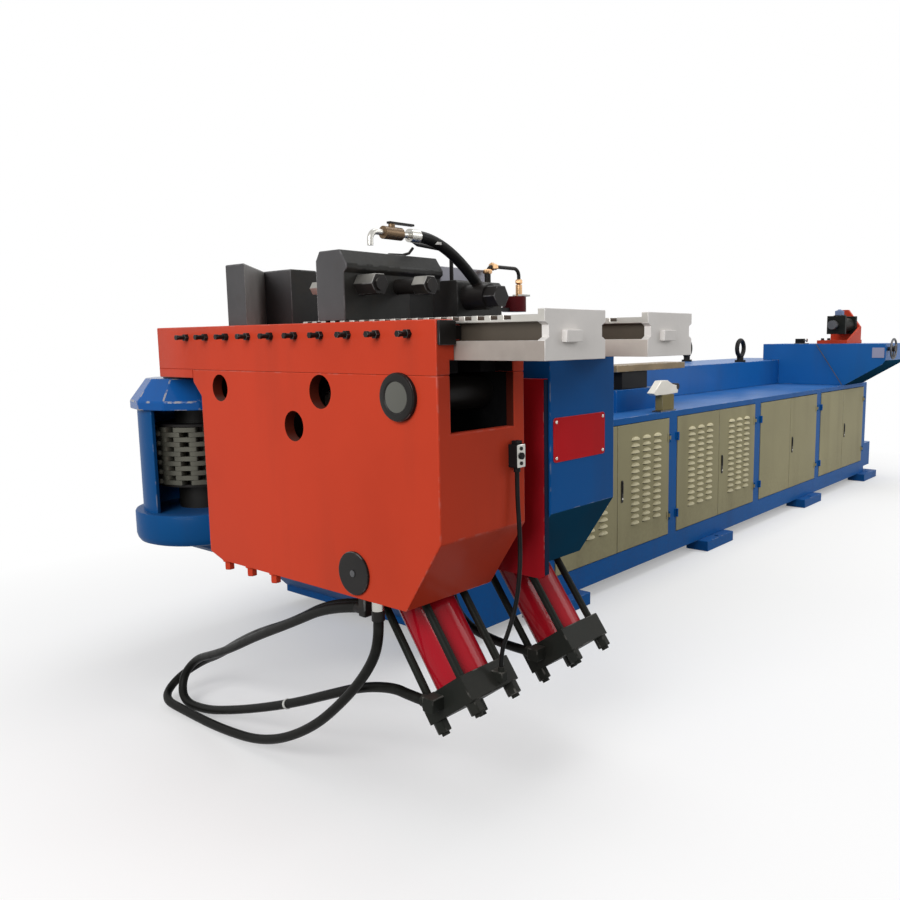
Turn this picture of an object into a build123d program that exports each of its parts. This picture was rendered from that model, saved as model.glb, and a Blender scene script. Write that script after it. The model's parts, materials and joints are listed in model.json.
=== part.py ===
from build123d import *
import math
import os

# Pipe bending machine. Millimetres, +Z up.
# Working frame: x = 0 at the front end of the bed, +x to the rear end,
# y = 0 at the door side, +y to the far side, z = 0 on the floor.

# Clearances
RUN = 0.05            # radial, shaft in bore
SLIDE_GAP = 0.4       # flat sliding faces
DOOR_GAP = 4.0
COVER_GAP = 0.5

# Bed and cabinet
BAYS = 4
BAY_PITCH = 1150.0
FRONT_RUN = 614.0     # bed front to the first door post
POST = 90.0
WALL = 40.0
DECK_PLATE = 12.0
BED_LENGTH = FRONT_RUN + BAYS * BAY_PITCH + POST / 2
BED_WIDTH = 1120.0
PAD_H = 60.0
DECK_Z = 855.0
DOOR_Z0 = 168.0
DOOR_Z1 = 822.0
DOOR_T = 20.0
DOOR_PROUD = 3.0
DOOR_SKIN = 4.0
HINGE_OUT = 9.0       # hinge axis in front of the post face
KNUCKLE_R = 6.5
KNUCKLE_H = 20.0
HINGE_H = 46.0
HINGE_PIN_R = 4.0
LEAF_W = 16.0
LEAF_T = 4.0
DOOR_W = (BAY_PITCH - POST) / 2 - 1.5 * DOOR_GAP
PAD_FIRST = 76.0      # first pad centre behind the first door post
PAD_PITCH = 1580.0
PAD_LAST = 11.0       # last pad centre behind the bed end
PAD_X = [FRONT_RUN + PAD_FIRST + k * PAD_PITCH for k in range(3)] + [BED_LENGTH + PAD_LAST]
PAD_L = 350.0
PAD_OUT = 60.0
PAD_IN = 80.0
ANCHOR_R = 14.0
STEP_L = 300.0
STEP_Y1 = 520.0
STEP_LOW = 30.0       # step box above the pads
STEP_H = 210.0
STEP_T = 6.0

# Upper beam on the far half of the deck
BEAM_W = 560.0
BEAM_Y0 = BED_WIDTH - BEAM_W
BEAM_Z1 = 1058.0
BEAM_T = 12.0
EYE_X = [700.0, 3960.0]
EYE_NEAR = 40.0
EYE_FAR = 50.0
EYE_Y = [BEAM_Y0 + EYE_NEAR, BED_WIDTH - EYE_FAR]
EYE_LIFT = 108.0      # ring centre above the beam
EYE_R = 62.0
EYE_WIRE = 17.0

# Tube support stand on the deck
STAND_X0 = 1480.0
STAND_BLOCK_L = 440.0
STAND_BLOCK_H = 120.0
STAND_Y0 = 190.0
STAND_Y1 = 330.0
STAND_POST_X = STAND_X0 + 80.0
STAND_POST_L = 270.0
STAND_POST_H = 97.0
STAND_PLATE_L = 767.0
STAND_PLATE_H = 37.0

# Spindle, nose and chain drive
SPIN_X = -590.0
SPIN_IN = 330.0       # spindle axis in from the far side
SPIN_Y = BED_WIDTH - SPIN_IN
SPIN_R = 90.0
HUB_R = 75.0
DRUM_R = 220.0
DRUM_T = 16.0
DRUM_Z0 = 507.0
SILL_Z = 622.0
CAP_Z0 = 1009.0
CAP_Z1 = 1040.0
CAP_Z2 = 1122.0
CAP_R = 243.0
CAP_TOP_R = 183.0
DIE_BORE_R = 45.0
DIE_BORE_L = 140.0
CHAIN_R = 150.0       # pitch radius
CHAIN_T = 44.0
CHAIN_Z = 833.0
CHAIN_H = 216.0
SWING_DEG = 185.0
ROD_STROKE = CHAIN_R * math.radians(SWING_DEG)

# Head box between nose and bed
HEAD_X = -400.0
HEAD_Y0 = 60.0
HEAD_Z1 = 1005.0
HEAD_FOOT = 90.0
HEAD_T = 25.0

# Swing arm, and the same box again for the pressure line
ARM_X0 = -950.0
ARM_W = 320.0
ARM_X1 = ARM_X0 + ARM_W
ARM_T = 30.0
ARM_END = -860.0
ARM_TOP = 1300.0
GUIDE_Z0 = 1171.0
ARM_Z0 = 585.0
CHIN_Z = 772.0        # end plate down to the slant plate
HEEL_Y = ARM_END + 124.0
SHELL_T = 26.0        # end, slant and bottom plates
LINE_SHIFT = 433.0    # pressure line behind clamp line
PLATE_T = 20.0
NECK_Y = 192.0
NECK_Z0 = 1144.0
NOSE_Y = 389.0
ARM_HUB_R = 130.0
MOUTH_IN = 44.0       # open mouth in the arm end, in from the sides
MOUTH_DEEP = 60.0
MOUTH_Z0 = 1032.0
SEAM = 3.0            # weld seam between guide and nose

# Slides
SLIDE_X0 = -890.0
SLIDE_W = 236.0
SLIDE_X1 = SLIDE_X0 + SLIDE_W
SLIDE_C = (SLIDE_X0 + SLIDE_X1) / 2
SLIDE_END = -1126.0
SLIDE_TOP = 1306.0
FLANGE_Z = 1250.0     # top of the wide flange
PLATE_Z0 = 1290.0     # underside of the toothed plate
NECK_IN = 22.0
BODY_Z0 = 1205.0
HEAD_Y = -290.0       # inner end of neck and toothed plate
BODY_Y = -130.0       # inner end of the flange below
END_T = 20.0
END_RISE = 12.0
END_NOTCH = 14.0
WEB_Y0 = -430.0
WEB_Y1 = -220.0
WEB_W = 80.0
WEB_Z0 = 1156.0
TOOTH_PITCH = 39.0
TOOTH_H = 10.0
STROKE = 210.0
BOSS_OUT = 14.0
BOSS_IN = 62.0
BOSS_W = 61.0
BOSS_Z0 = 1245.0
BOSS_Z1 = 1272.0

# Rocker between piston rod and slide, points as (y, z)
PIN_U = (-735.0, 1118.0)
PIN_T = (-545.0, 652.0)
TILT = 35.884
AXIS_Y = math.sin(math.radians(TILT))
AXIS_Z = math.cos(math.radians(TILT))
ROCK_T = 316.0        # trunnion to the rod eye in mid stroke
ROCK_K = 200.0        # rocker pivot to the cylinder axis
PIVOT_Y = PIN_T[0] + ROCK_T * AXIS_Y + ROCK_K * AXIS_Z
PIVOT_Z = PIN_T[1] + ROCK_T * AXIS_Z - ROCK_K * AXIS_Y
PIVOT = (PIVOT_Y, PIVOT_Z)
PIN_S_Z = 1085.0
ROCK_S = PIN_S_Z - PIVOT_Z
ROCK_HALF = math.atan(STROKE / 2 / ROCK_S)
PIN_S = (PIVOT_Y - STROKE / 2, PIN_S_Z)
KNEE_T = ROCK_T - ROCK_K * math.tan(ROCK_HALF)
U_R = 45.0
T_R = 38.0
V_R = 30.0
K_R = 24.0
SLOT_ROOM = 2.4
ROCK_BAR = 48.0       # half width of the rocker arms
ROCK_HUB = 60.0
ROCK_TIP = 16.0       # metal beyond the slot end
LINK_T = 40.0
FORK_T = 22.5
FORK_GAP = 1.0

# Tie-rod cylinders, lengths along the axis from the trunnion
CYL_CAP = 185.0
CYL_PITCH = 145.0
CYL_R = 76.0
CYL_BORE = 62.5
TIE_R = 11.0
ROD_R = 32.0
HEAD_CAP = 40.0
REAR_CAP0 = -360.0
REAR_CAP1 = -430.0
NUT_L = 32.0
PORT_A = -385.0       # hose elbow on the rear cap, along and across the axis
PORT_L = 20.0
PORT_Y = PIN_T[0] + PORT_A * AXIS_Y + PORT_L * AXIS_Z
PORT_Z = PIN_T[1] + PORT_A * AXIS_Z - PORT_L * AXIS_Y
ELBOW = 19.0
ELBOW_X = SLIDE_C - CYL_CAP / 2 - 21.5
HOSE_END_Y = PORT_Y + 34.0

# Die seats and tooling
SEAT_Y0 = -469.0
SEAT_Y1 = -356.0
SEAT_TOP = 1490.0
SCREW_Z = 1400.0
SCREW_R = 17.0
SCREW_A_X = -829.0
SCREW_B_X = -697.0
DIE_HOLE_R = 8.0
DIE_HOLE_X = 140.0
DIE_HOLE_Z = 1350.0
JAW_X1 = -530.0       # clamp seat drawn out to the pressure side
JAW_IN = 30.0
JAW_Z = 1395.0
PRESS_X1 = SLIDE_X1 + LINE_SHIFT - 29.0
PRESS_TOP = 1432.0
PRESS_BACK = 1476.0
PRESS_STEP = -400.0
BLOCK_TOP = 1481.0
CARTRIDGE_X = -408.0
CARTRIDGE_Z = 1380.0
CARTRIDGE_R = 38.0

# Lubricant line, in the plane y = LUBE_Y
LUBE_Y = -512.0
LUBE_RISE = 47.0
LUBE_Z = SEAT_TOP + LUBE_RISE
NOZZLE_X = -832.0
NOZZLE_GAP = 10.0
NOZZLE_Z = SEAT_TOP + NOZZLE_GAP
PIPE_R = 8.0
PIPE_END_X = -659.0
VALVE_X = -755.0
LUBE_HOSE_R = 16.0
FEED_Y = SEAT_Y0 + 44.0   # feed pipe from the pressure seat to the small reservoir beside it
FEED_TOP = 1486.0
FEED_LOW = 1344.0
POST_X = -267.0
DROP_X = -108.0
POT_X = -134.0
POT_R = 40.0
POT_H = 50.0
LUBE_HOSE = [(PIPE_END_X, LUBE_Y, LUBE_Z), (-548.0, LUBE_Y, LUBE_Z), (-425.0, LUBE_Y, CARTRIDGE_Z + 47.0)]

# Two hoses hung under the arm, one looped back to its manifold and one on to the clamp cylinder
HOSE_R = 14.0
MANIFOLD_H = 50.0
MANIFOLD_W = 64.0
MANIFOLD_Y0 = -577.0
MANIFOLD_Y1 = -553.0
PORT_LOW = 33.0       # manifold ports below the arm
PORT_1_X = ARM_X0 + ARM_T / 2
PORT_2_X = PORT_1_X + 32.0
PORT_OUT = MANIFOLD_Y1 + 23.0
PORT_H = ARM_Z0 - PORT_LOW
RETURN_Y = -613.0
MANIFOLD_Z = ARM_Z0 - MANIFOLD_H
CLAMP_HOSE = [
    (PORT_2_X, PORT_OUT, PORT_H), (PORT_2_X, -400, PORT_H), (-898, -190, 465), (-880, 10, 345),
    (-845, 190, 220), (-805, 350, 125), (-785, 500, 75), (-871.6, 550, 48),
    (-958.2, 500, 24), (-960, 360, 22), (-962, 130, 24), (-957, -110, 50),
    (-945, -320, 150), (-935, -480, 290), (-932, -575, 400), (PORT_1_X, RETURN_Y, MANIFOLD_Z - 55),
    (PORT_1_X, RETURN_Y, MANIFOLD_Z)]
CAP_HOSE = [
    (PORT_1_X, PORT_OUT, PORT_H), (PORT_1_X, -410, PORT_H), (-928, -220, 490), (-915, -20, 400),
    (-897, 160, 300), (-878, 300, 210), (-862, 438.3, 158), (-891.3, 481.6, 89),
    (-920.5, 438.3, 20), (-918, 300, 24), (-914, 130, 70), (-908, -40, 125),
    (-902, -200, 184), (-897, -345, 246), (-892, -490, 306), (-888, -610, 334),
    (ELBOW_X, HOSE_END_Y + 52, PORT_Z), (ELBOW_X, HOSE_END_Y, PORT_Z)]

# Pressure cylinder hose and switch cable
BRACKET_PORT_Y = -405.0
BRACKET_PORT_L = 20.0
BRACKET_PORT_Z = ARM_Z0 - BRACKET_PORT_L
PRESSURE_HOSE_X = ELBOW_X + LINE_SHIFT
PRESSURE_HOSE = [
    (PRESSURE_HOSE_X, BRACKET_PORT_Y, BRACKET_PORT_Z), (PRESSURE_HOSE_X, BRACKET_PORT_Y, BRACKET_PORT_Z - 80),
    (PRESSURE_HOSE_X, -430, 402), (PRESSURE_HOSE_X, -490, 352), (PRESSURE_HOSE_X, -580, PORT_Z + 5),
    (PRESSURE_HOSE_X, HOSE_END_Y + 62, PORT_Z), (PRESSURE_HOSE_X, HOSE_END_Y, PORT_Z)]
SWITCH_X = -681.0
SWITCH_W = 34.0
SWITCH_Z = 927.0
SWITCH_H = 60.0
SWITCH_OUT = 30.0
CABLE_R = 6.0
CABLE_Y = ARM_END - SWITCH_OUT / 2
GLAND_L = 12.0
PLUG_A = (REAR_CAP0 + REAR_CAP1) / 2
PLUG_X = -745.0
PLUG_Y = PIN_T[0] + PLUG_A * AXIS_Y - (CYL_CAP / 2 + 20.0) * AXIS_Z
PLUG_Z = PIN_T[1] + PLUG_A * AXIS_Z + (CYL_CAP / 2 + 20.0) * AXIS_Y
SOCKET = 12.0
SWITCH_CABLE = [
    (SWITCH_X, CABLE_Y, SWITCH_Z - GLAND_L), (SWITCH_X, CABLE_Y, 850), (-684, -884, 765), (-690, -890, 672),
    (-705, -890, 580), (-727, -880, 505), (PLUG_X, PLUG_Y, PLUG_Z + 55), (PLUG_X, PLUG_Y, PLUG_Z + SOCKET)]

# Rear platform and mandrel unit
PLAT_L = 500.0
PLAT_X1 = BED_LENGTH - 109.0
PLAT_X0 = PLAT_X1 - PLAT_L
PLAT_T = 14.0
PLAT_Y0 = -310.0
PLAT_Y1 = 700.0
PLAT_Z1 = 1193.0
CROSS_Y0 = 0.0
CROSS_Y1 = 245.0
CROSS_TOP = 1475.0
CROSS_TRAVEL = 60.0
MANDREL_Y = 100.0
MANDREL_Z = 1345.0
MANDREL_STROKE = 150.0
WHEEL_X = PLAT_X0 + 60.0
WHEEL_Y = -352.0
WHEEL_Z = 1150.0
WHEEL_R = 85.0

# Power unit inside the second and third bays
TANK_X0 = FRONT_RUN + BAY_PITCH + 236.0
TANK_L = 1000.0
TANK_Y0 = 250.0
TANK_W = 650.0
TANK_TOP = 500.0
TANK_T = 8.0
MOTOR_UP = 160.0
MOTOR_R = 130.0
MOTOR_L = 460.0

# Gib set screws, along the arm front
GIB_Z = 1268.0
GIB_PITCH = 109.0
GIB_Y0 = 211.0
GIB_N = 10
GIB_R = 6.5
GIB_NUT = 12.0
GIB_FLATS = 20.0
GIB_TIP = 38.0
GIB_HEAD = 8.0
GIB_HEAD_FLATS = 15.0

# Row frame: bottom centre of the whole machine
X_LOW = ARM_X0 - GIB_TIP
X_HIGH = BED_LENGTH + STEP_L
Y_LOW = SLIDE_END - BOSS_OUT
Y_HIGH = BED_WIDTH + PAD_OUT
SHIFT = (-(X_LOW + X_HIGH) / 2, -(Y_LOW + Y_HIGH) / 2, 0.0)


def box(x0, x1, y0, y1, z0, z1):
    return Pos((x0 + x1) / 2, (y0 + y1) / 2, (z0 + z1) / 2) * Box(x1 - x0, y1 - y0, z1 - z0)


def rod_x(y, z, r, x0, x1):
    return Pos((x0 + x1) / 2, y, z) * Rot(0, 90, 0) * Cylinder(r, x1 - x0)


def rod_y(x, z, r, y0, y1):
    return Pos(x, (y0 + y1) / 2, z) * Rot(90, 0, 0) * Cylinder(r, y1 - y0)


def rod_z(x, y, r, z0, z1):
    return Pos(x, y, (z0 + z1) / 2) * Cylinder(r, z1 - z0)


def hex_x(y, z, flats, x0, x1):
    face = RegularPolygon(flats / 2, 6, major_radius=False)
    return extrude(Plane.YZ.offset(x0) * Pos(y, z) * face, x1 - x0)


def hex_y(x, z, flats, y0, y1):
    face = RegularPolygon(flats / 2, 6, major_radius=False)
    return extrude(Plane.XZ.offset(-y1) * Pos(x, z) * face, y1 - y0)


def prism_x(points, x0, x1):
    return extrude(Plane.YZ.offset(x0) * make_face(Polyline(*points, close=True)), x1 - x0)


def prism_y(points, y0, y1):
    return extrude(Plane.XZ.offset(-y1) * make_face(Polyline(*points, close=True)), y1 - y0)


def prism_z(points, z0, z1):
    return extrude(Plane.XY.offset(z0) * make_face(Polyline(*points, close=True)), z1 - z0)


def bar_x(a, b, half, x0, x1):
    """A flat link in the y-z plane with round ends on the points a and b."""
    length = math.dist(a, b)
    turn = math.degrees(math.atan2(b[1] - a[1], b[0] - a[0]))
    body = Pos(length / 2, 0) * Rectangle(length, 2 * half) + Circle(half) + Pos(length, 0) * Circle(half)
    return extrude(Plane.YZ.offset(x0) * Pos(a[0], a[1]) * Rot(0, 0, turn) * body, x1 - x0)


def bend_radii(points):
    radii = []
    for p, q, r in zip(points, points[1:], points[2:]):
        a = Vector(*q) - Vector(*p)
        b = Vector(*r) - Vector(*q)
        half = math.radians(a.get_angle(b)) / 2
        radii.append(0.45 * min(a.length, b.length) / math.tan(half))
    return radii


def tube(points, r, radii):
    path = FilletPolyline(*points, radius=radii)
    start = Plane(origin=path @ 0, z_dir=path % 0)
    return sweep(start * Circle(r), path=path), path


def bay_edges(i):
    x0 = FRONT_RUN + i * BAY_PITCH + POST / 2
    return x0, x0 + BAY_PITCH - POST


# Openings for the two bend rods, chain height and width with room
ROD_Y = [SPIN_Y + CHAIN_R, SPIN_Y - CHAIN_R]
PASS_Y0 = ROD_Y[1] - 67.0
PASS_Y1 = ROD_Y[0] + 67.0
PASS_Z0 = CHAIN_Z - CHAIN_H / 2 - 15
PASS_Z1 = CHAIN_Z + CHAIN_H / 2 + 15
CYL_X0 = 400.0
CYL_X1 = 1250.0
BEND_R = 65.0
BEND_BORE = 50.0
BEND_ROD_R = 30.0
BEND_HEAD = 40.0
BEND_TAIL = 20.0
SADDLE_X = [CYL_X0 + 80.0, CYL_X1 - 130.0]
SADDLE_T = 30.0
SADDLE_H = 203.0
ANCHOR_L = 65.0
BEND_ROD_L = 850.0
PISTON_L = 40.0


def hinge_heights():
    return DOOR_Z0 + 110.0, DOOR_Z1 - 110.0


def span(x, side, near, far):
    """Lower and upper x of a stretch from near to far on one side of x."""
    return min(x + side * near, x + side * far), max(x + side * near, x + side * far)


def post_hinge(x, side, z):
    """Post half of a door hinge: leaf, outer knuckles and the pin. The door lies on the given side."""
    half = HINGE_H / 2
    part = box(*span(x, -side, 8, LEAF_W), -LEAF_T, 0, z - half, z + half)
    part += rod_z(x, -HINGE_OUT, HINGE_PIN_R, z - half, z + half)
    for z0, z1 in [(z - half, z - KNUCKLE_H / 2 - COVER_GAP), (z + KNUCKLE_H / 2 + COVER_GAP, z + half)]:
        part += rod_z(x, -HINGE_OUT, KNUCKLE_R, z0, z1)
        part += box(*span(x, -side, 0, 8), -LEAF_T, 0, z0, z1)
    return part


def door_hinge(x, side, z):
    """Door half of a hinge: leaf and middle knuckle, bored for the pin."""
    half = HINGE_H / 2
    y0 = -DOOR_PROUD - LEAF_T + 1
    part = box(*span(x, side, 8, LEAF_W + 8), y0, -DOOR_PROUD, z - half, z + half)
    part += box(*span(x, side, 0, 8), y0, -DOOR_PROUD, z - KNUCKLE_H / 2, z + KNUCKLE_H / 2)
    part += rod_z(x, -HINGE_OUT, KNUCKLE_R, z - KNUCKLE_H / 2, z + KNUCKLE_H / 2)
    return part - rod_z(x, -HINGE_OUT, HINGE_PIN_R + RUN, z - half, z + half)


def bed_frame():
    part = box(0, BED_LENGTH, 0, BED_WIDTH, PAD_H, DECK_Z)
    part -= box(WALL, BED_LENGTH - WALL, WALL, BED_WIDTH - WALL, PAD_H + WALL, DECK_Z - DECK_PLATE)
    for i in range(BAYS):
        x0, x1 = bay_edges(i)
        part -= box(x0, x1, -1, BED_WIDTH + 1, DOOR_Z0, DOOR_Z1)
    part -= box(-1, WALL + 1, PASS_Y0, PASS_Y1, PASS_Z0, DECK_Z + 1)
    part -= box(WALL, CYL_X1 + 50, PASS_Y0, PASS_Y1, DECK_Z - DECK_PLATE - 1, DECK_Z + 1)
    step_z = PAD_H + STEP_LOW
    t = STEP_T
    part += box(BED_LENGTH, BED_LENGTH + STEP_L, WALL, STEP_Y1, step_z, step_z + STEP_H)
    x1 = BED_LENGTH + STEP_L - t
    part -= box(BED_LENGTH + t, x1, WALL + t, STEP_Y1 - t, step_z + t, step_z + STEP_H - t)
    part += box(STAND_X0, STAND_X0 + STAND_BLOCK_L, STAND_Y0, STAND_Y1, DECK_Z, DECK_Z + STAND_BLOCK_H)
    for i in range(BAYS):
        for x, side in zip(bay_edges(i), (1, -1)):
            for z in hinge_heights():
                part += post_hinge(x, side, z)
    return part


def bed_beam():
    part = box(0, BED_LENGTH, BEAM_Y0, BED_WIDTH, DECK_Z, BEAM_Z1)
    inner_z1 = BEAM_Z1 - BEAM_T
    part -= box(BEAM_T, BED_LENGTH - BEAM_T, BEAM_Y0 + BEAM_T, BED_WIDTH - BEAM_T, DECK_Z + BEAM_T, inner_z1)
    part -= box(-1, CYL_X1 + 50, PASS_Y0, PASS_Y1, DECK_Z - 1, DECK_Z + BEAM_T + 1)
    part -= box(-1, BEAM_T + 1, PASS_Y0, PASS_Y1, DECK_Z - 1, PASS_Z1)
    return part


def head_box():
    outer = [(HEAD_X, DRUM_Z0), (HEAD_X, HEAD_Z1), (0, HEAD_Z1), (0, HEAD_FOOT)]
    part = prism_y(outer, HEAD_Y0, BED_WIDTH)
    slope = (DRUM_Z0 - HEAD_FOOT) / -HEAD_X
    low = DRUM_Z0 - slope * HEAD_T + HEAD_T * math.hypot(1, slope)
    inner = [(HEAD_X + HEAD_T, low), (HEAD_X + HEAD_T, HEAD_Z1 - HEAD_T), (1, HEAD_Z1 - HEAD_T)]
    inner += [(1, low + slope * (HEAD_X + HEAD_T - 1))]
    part -= prism_y(inner, HEAD_Y0 + HEAD_T, BED_WIDTH - HEAD_T)
    part -= box(HEAD_X - 1, HEAD_X + HEAD_T + 1, PASS_Y0, PASS_Y1, PASS_Z0, PASS_Z1)
    return part


def spin_at(r, deg):
    return SPIN_X + r * math.cos(math.radians(deg)), SPIN_Y + r * math.sin(math.radians(deg))


def nose_drum():
    part = rod_z(SPIN_X, SPIN_Y, DRUM_R, DRUM_Z0, CAP_Z0)
    part = fillet(part.edges().group_by(Axis.Z)[0], 34)
    part -= rod_z(SPIN_X, SPIN_Y, DRUM_R - DRUM_T, SILL_Z, CAP_Z0 + 1)
    for first, last in [(191, 270), (300, 420)]:
        wedge = [(SPIN_X, SPIN_Y)] + [spin_at(520, first + (last - first) * k / 4) for k in range(5)]
        part -= prism_z(wedge, SILL_Z, CAP_Z0 + 1)
    part -= box(HEAD_X, 0, 0, 1500, DRUM_Z0 - 1, CAP_Z0 + 1)
    part -= rod_z(SPIN_X, SPIN_Y, SPIN_R + RUN, DRUM_Z0 + 33, SILL_Z + 1)
    return part


def nose_cap():
    band = extrude(Plane.XY.offset(CAP_Z0) * Pos(SPIN_X, SPIN_Y) * RegularPolygon(CAP_R, 12), CAP_Z1 - CAP_Z0)
    low = Plane.XY.offset(CAP_Z1) * Pos(SPIN_X, SPIN_Y) * RegularPolygon(CAP_R, 12)
    high = Plane.XY.offset(CAP_Z2) * Pos(SPIN_X, SPIN_Y) * RegularPolygon(CAP_TOP_R, 12)
    part = band + loft([low.face(), high.face()])
    part -= rod_z(SPIN_X, SPIN_Y, SPIN_R + RUN, CAP_Z0 - 1, CAP_Z2 + 1)
    return part


def spindle():
    part = rod_z(SPIN_X, SPIN_Y, SPIN_R, DRUM_Z0 + 34, CAP_Z2 + 1)
    part += rod_z(SPIN_X, SPIN_Y, ARM_HUB_R - 8, CAP_Z2 + COVER_GAP, NECK_Z0)
    part += rod_z(SPIN_X, SPIN_Y, HUB_R, NECK_Z0, ARM_TOP)
    part -= rod_z(SPIN_X, SPIN_Y, DIE_BORE_R, ARM_TOP - DIE_BORE_L, ARM_TOP + 1)
    return part


def sprocket():
    half = CHAIN_H / 2
    core = CHAIN_R - CHAIN_T / 2
    part = rod_z(SPIN_X, SPIN_Y, core, CHAIN_Z - half - 10, CHAIN_Z + half + 10)
    for z in [CHAIN_Z - half - 10, CHAIN_Z + half + 0.5]:
        part += rod_z(SPIN_X, SPIN_Y, core + 30, z, z + 9.5)
    part -= rod_z(SPIN_X, SPIN_Y, SPIN_R + RUN, CHAIN_Z - 200, CHAIN_Z + 200)
    return part


def chain():
    part = rod_z(SPIN_X, SPIN_Y, CHAIN_R + CHAIN_T / 2, CHAIN_Z - CHAIN_H / 2, CHAIN_Z + CHAIN_H / 2)
    part -= rod_z(SPIN_X, SPIN_Y, CHAIN_R - CHAIN_T / 2 + 0.3, CHAIN_Z - CHAIN_H, CHAIN_Z + CHAIN_H)
    return part


def bend_cylinders():
    part = None
    for y in ROD_Y:
        one = rod_x(y, CHAIN_Z, BEND_R, CYL_X0, CYL_X1)
        part = one if part is None else part + one
    top = DECK_Z - DECK_PLATE - 3
    for x in SADDLE_X:
        part += box(x, x + SADDLE_T, WALL, BED_WIDTH - WALL, top - SADDLE_H, top)
    for y in ROD_Y:
        part -= rod_x(y, CHAIN_Z, BEND_BORE, CYL_X0 + BEND_HEAD, CYL_X1 - BEND_TAIL)
        part -= rod_x(y, CHAIN_Z, BEND_ROD_R + RUN, CYL_X0 - 1, CYL_X0 + BEND_HEAD + 1)
    return part


def bend_rod(y, x0):
    """Chain anchor block, piston rod and piston, the block starting at x0."""
    x1 = x0 + ANCHOR_L
    x2 = x1 + BEND_ROD_L
    part = box(x0, x1, y - CHAIN_T / 2, y + CHAIN_T / 2, CHAIN_Z - CHAIN_H / 2, CHAIN_Z + CHAIN_H / 2)
    part += rod_x(y, CHAIN_Z, BEND_ROD_R, x1, x2)
    part += rod_x(y, CHAIN_Z, BEND_BORE - RUN, x2, x2 + PISTON_L)
    return part


def arm_shell(outline, shift, inner_end):
    """Welded box of the two lines: side plates, end, slant and bottom plates, pin bores."""
    x0 = ARM_X0 + shift
    x1 = ARM_X1 + shift
    t = SHELL_T
    part = prism_x(outline, x0, x1)
    inner = [(ARM_END + t, GUIDE_Z0 + 1), (ARM_END + t, CHIN_Z + 8), (HEEL_Y + 14, ARM_Z0 + t)]
    inner += [(inner_end, ARM_Z0 + t), (inner_end, GUIDE_Z0 + 1)]
    part -= prism_x(inner, x0 + ARM_T, x1 - ARM_T)
    part -= box(x0 + ARM_T, x1 - ARM_T, HEEL_Y + 21, -430, ARM_Z0 - 1, ARM_Z0 + t + 1)
    part -= rod_x(*PIN_U, U_R + RUN, x0 - 1, x1 + 1)
    part -= rod_x(*PIN_T, T_R + RUN, x0 - 1, x1 + 1)
    part -= rod_x(*PIVOT, V_R + RUN, x0 + ARM_T / 2, x1 + 1)
    return part


def guide(shift, y1):
    """Guide block with the T-shaped slideway for a slide, from the end plane to y1."""
    x0 = ARM_X0 + shift
    s0 = SLIDE_X0 + shift
    s1 = SLIDE_X1 + shift
    g = SLIDE_GAP
    y0 = ARM_END - 1
    body_end = BODY_Y + STROKE + 15
    head_end = HEAD_Y + STROKE + 2
    part = box(x0, x0 + ARM_W, ARM_END, y1, GUIDE_Z0, ARM_TOP)
    part -= box(s0 - g, s1 + g, y0, body_end, BODY_Z0 - g, FLANGE_Z + g)
    part -= box(s0 + NECK_IN - g, s1 - NECK_IN + g, y0, head_end, FLANGE_Z, PLATE_Z0)
    part -= box(s0 - g, s1 + g, y0, head_end, PLATE_Z0 - g, ARM_TOP + 1)
    wx = SLIDE_C + shift
    half = WEB_W / 2 + 2
    part -= box(wx - half, wx + half, ARM_END + SHELL_T, WEB_Y1 + STROKE + 15, GUIDE_Z0 - 1, BODY_Z0)
    return part


def swing_arm():
    outline = [(ARM_END, GUIDE_Z0), (ARM_END, CHIN_Z), (HEEL_Y, ARM_Z0), (88, ARM_Z0), (150, ARM_Z0 + 19)]
    outline += [(150, 1090), (NECK_Y, 1132), (NECK_Y, GUIDE_Z0)]
    part = arm_shell(outline, 0, 120)
    mouth_end = ARM_END + SHELL_T + 1
    part -= box(ARM_X0 + MOUTH_IN, ARM_X1 - MOUTH_IN, ARM_END - 1, mouth_end, MOUTH_Z0, GUIDE_Z0 + 1)
    for y, z, r in [(43, 1118, 40), (-430, 1121, 45), (-311, 1024, 42)]:
        part -= rod_x(y, z, r, ARM_X0 - 1, ARM_X0 + ARM_T + 1)
    part += box(ARM_X0 + 1, ARM_X0 + MANIFOLD_W, MANIFOLD_Y0, MANIFOLD_Y1, MANIFOLD_Z, ARM_Z0)
    for x in (PORT_1_X, PORT_2_X):
        part += rod_y(x, PORT_H, HOSE_R, MANIFOLD_Y1, PORT_OUT)
    return part + rod_z(PORT_1_X, RETURN_Y, HOSE_R + 2, MANIFOLD_Z, ARM_Z0)


def clamp_guide():
    part = guide(0, NECK_Y)
    mouth_end = ARM_END + MOUTH_DEEP
    part -= box(ARM_X0 + MOUTH_IN, ARM_X1 - MOUTH_IN, ARM_END - 1, mouth_end, GUIDE_Z0 - 1, BODY_Z0)
    left = spin_at(ARM_HUB_R, 176)
    right = spin_at(ARM_HUB_R, -8)
    plan = [(ARM_X0, NECK_Y), (ARM_X0, NOSE_Y), left, right, (ARM_X1, NECK_Y)]
    part += prism_z(plan, NECK_Z0, ARM_TOP)
    part += rod_z(SPIN_X, SPIN_Y, ARM_HUB_R, NECK_Z0, ARM_TOP)
    seam_z = GUIDE_Z0 - SEAM / 2
    part -= box(ARM_X0 - 1, ARM_X0 + SEAM, NECK_Y, NOSE_Y + 1, seam_z, seam_z + SEAM)
    part -= rod_z(SPIN_X, SPIN_Y, HUB_R + RUN, NECK_Z0 - 1, ARM_TOP + 1)
    for k in range(GIB_N):
        part -= rod_x(GIB_Y0 - k * GIB_PITCH, GIB_Z, GIB_R + 0.3, ARM_X0 - 1, SLIDE_X0 + NECK_IN)
    return part


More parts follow.
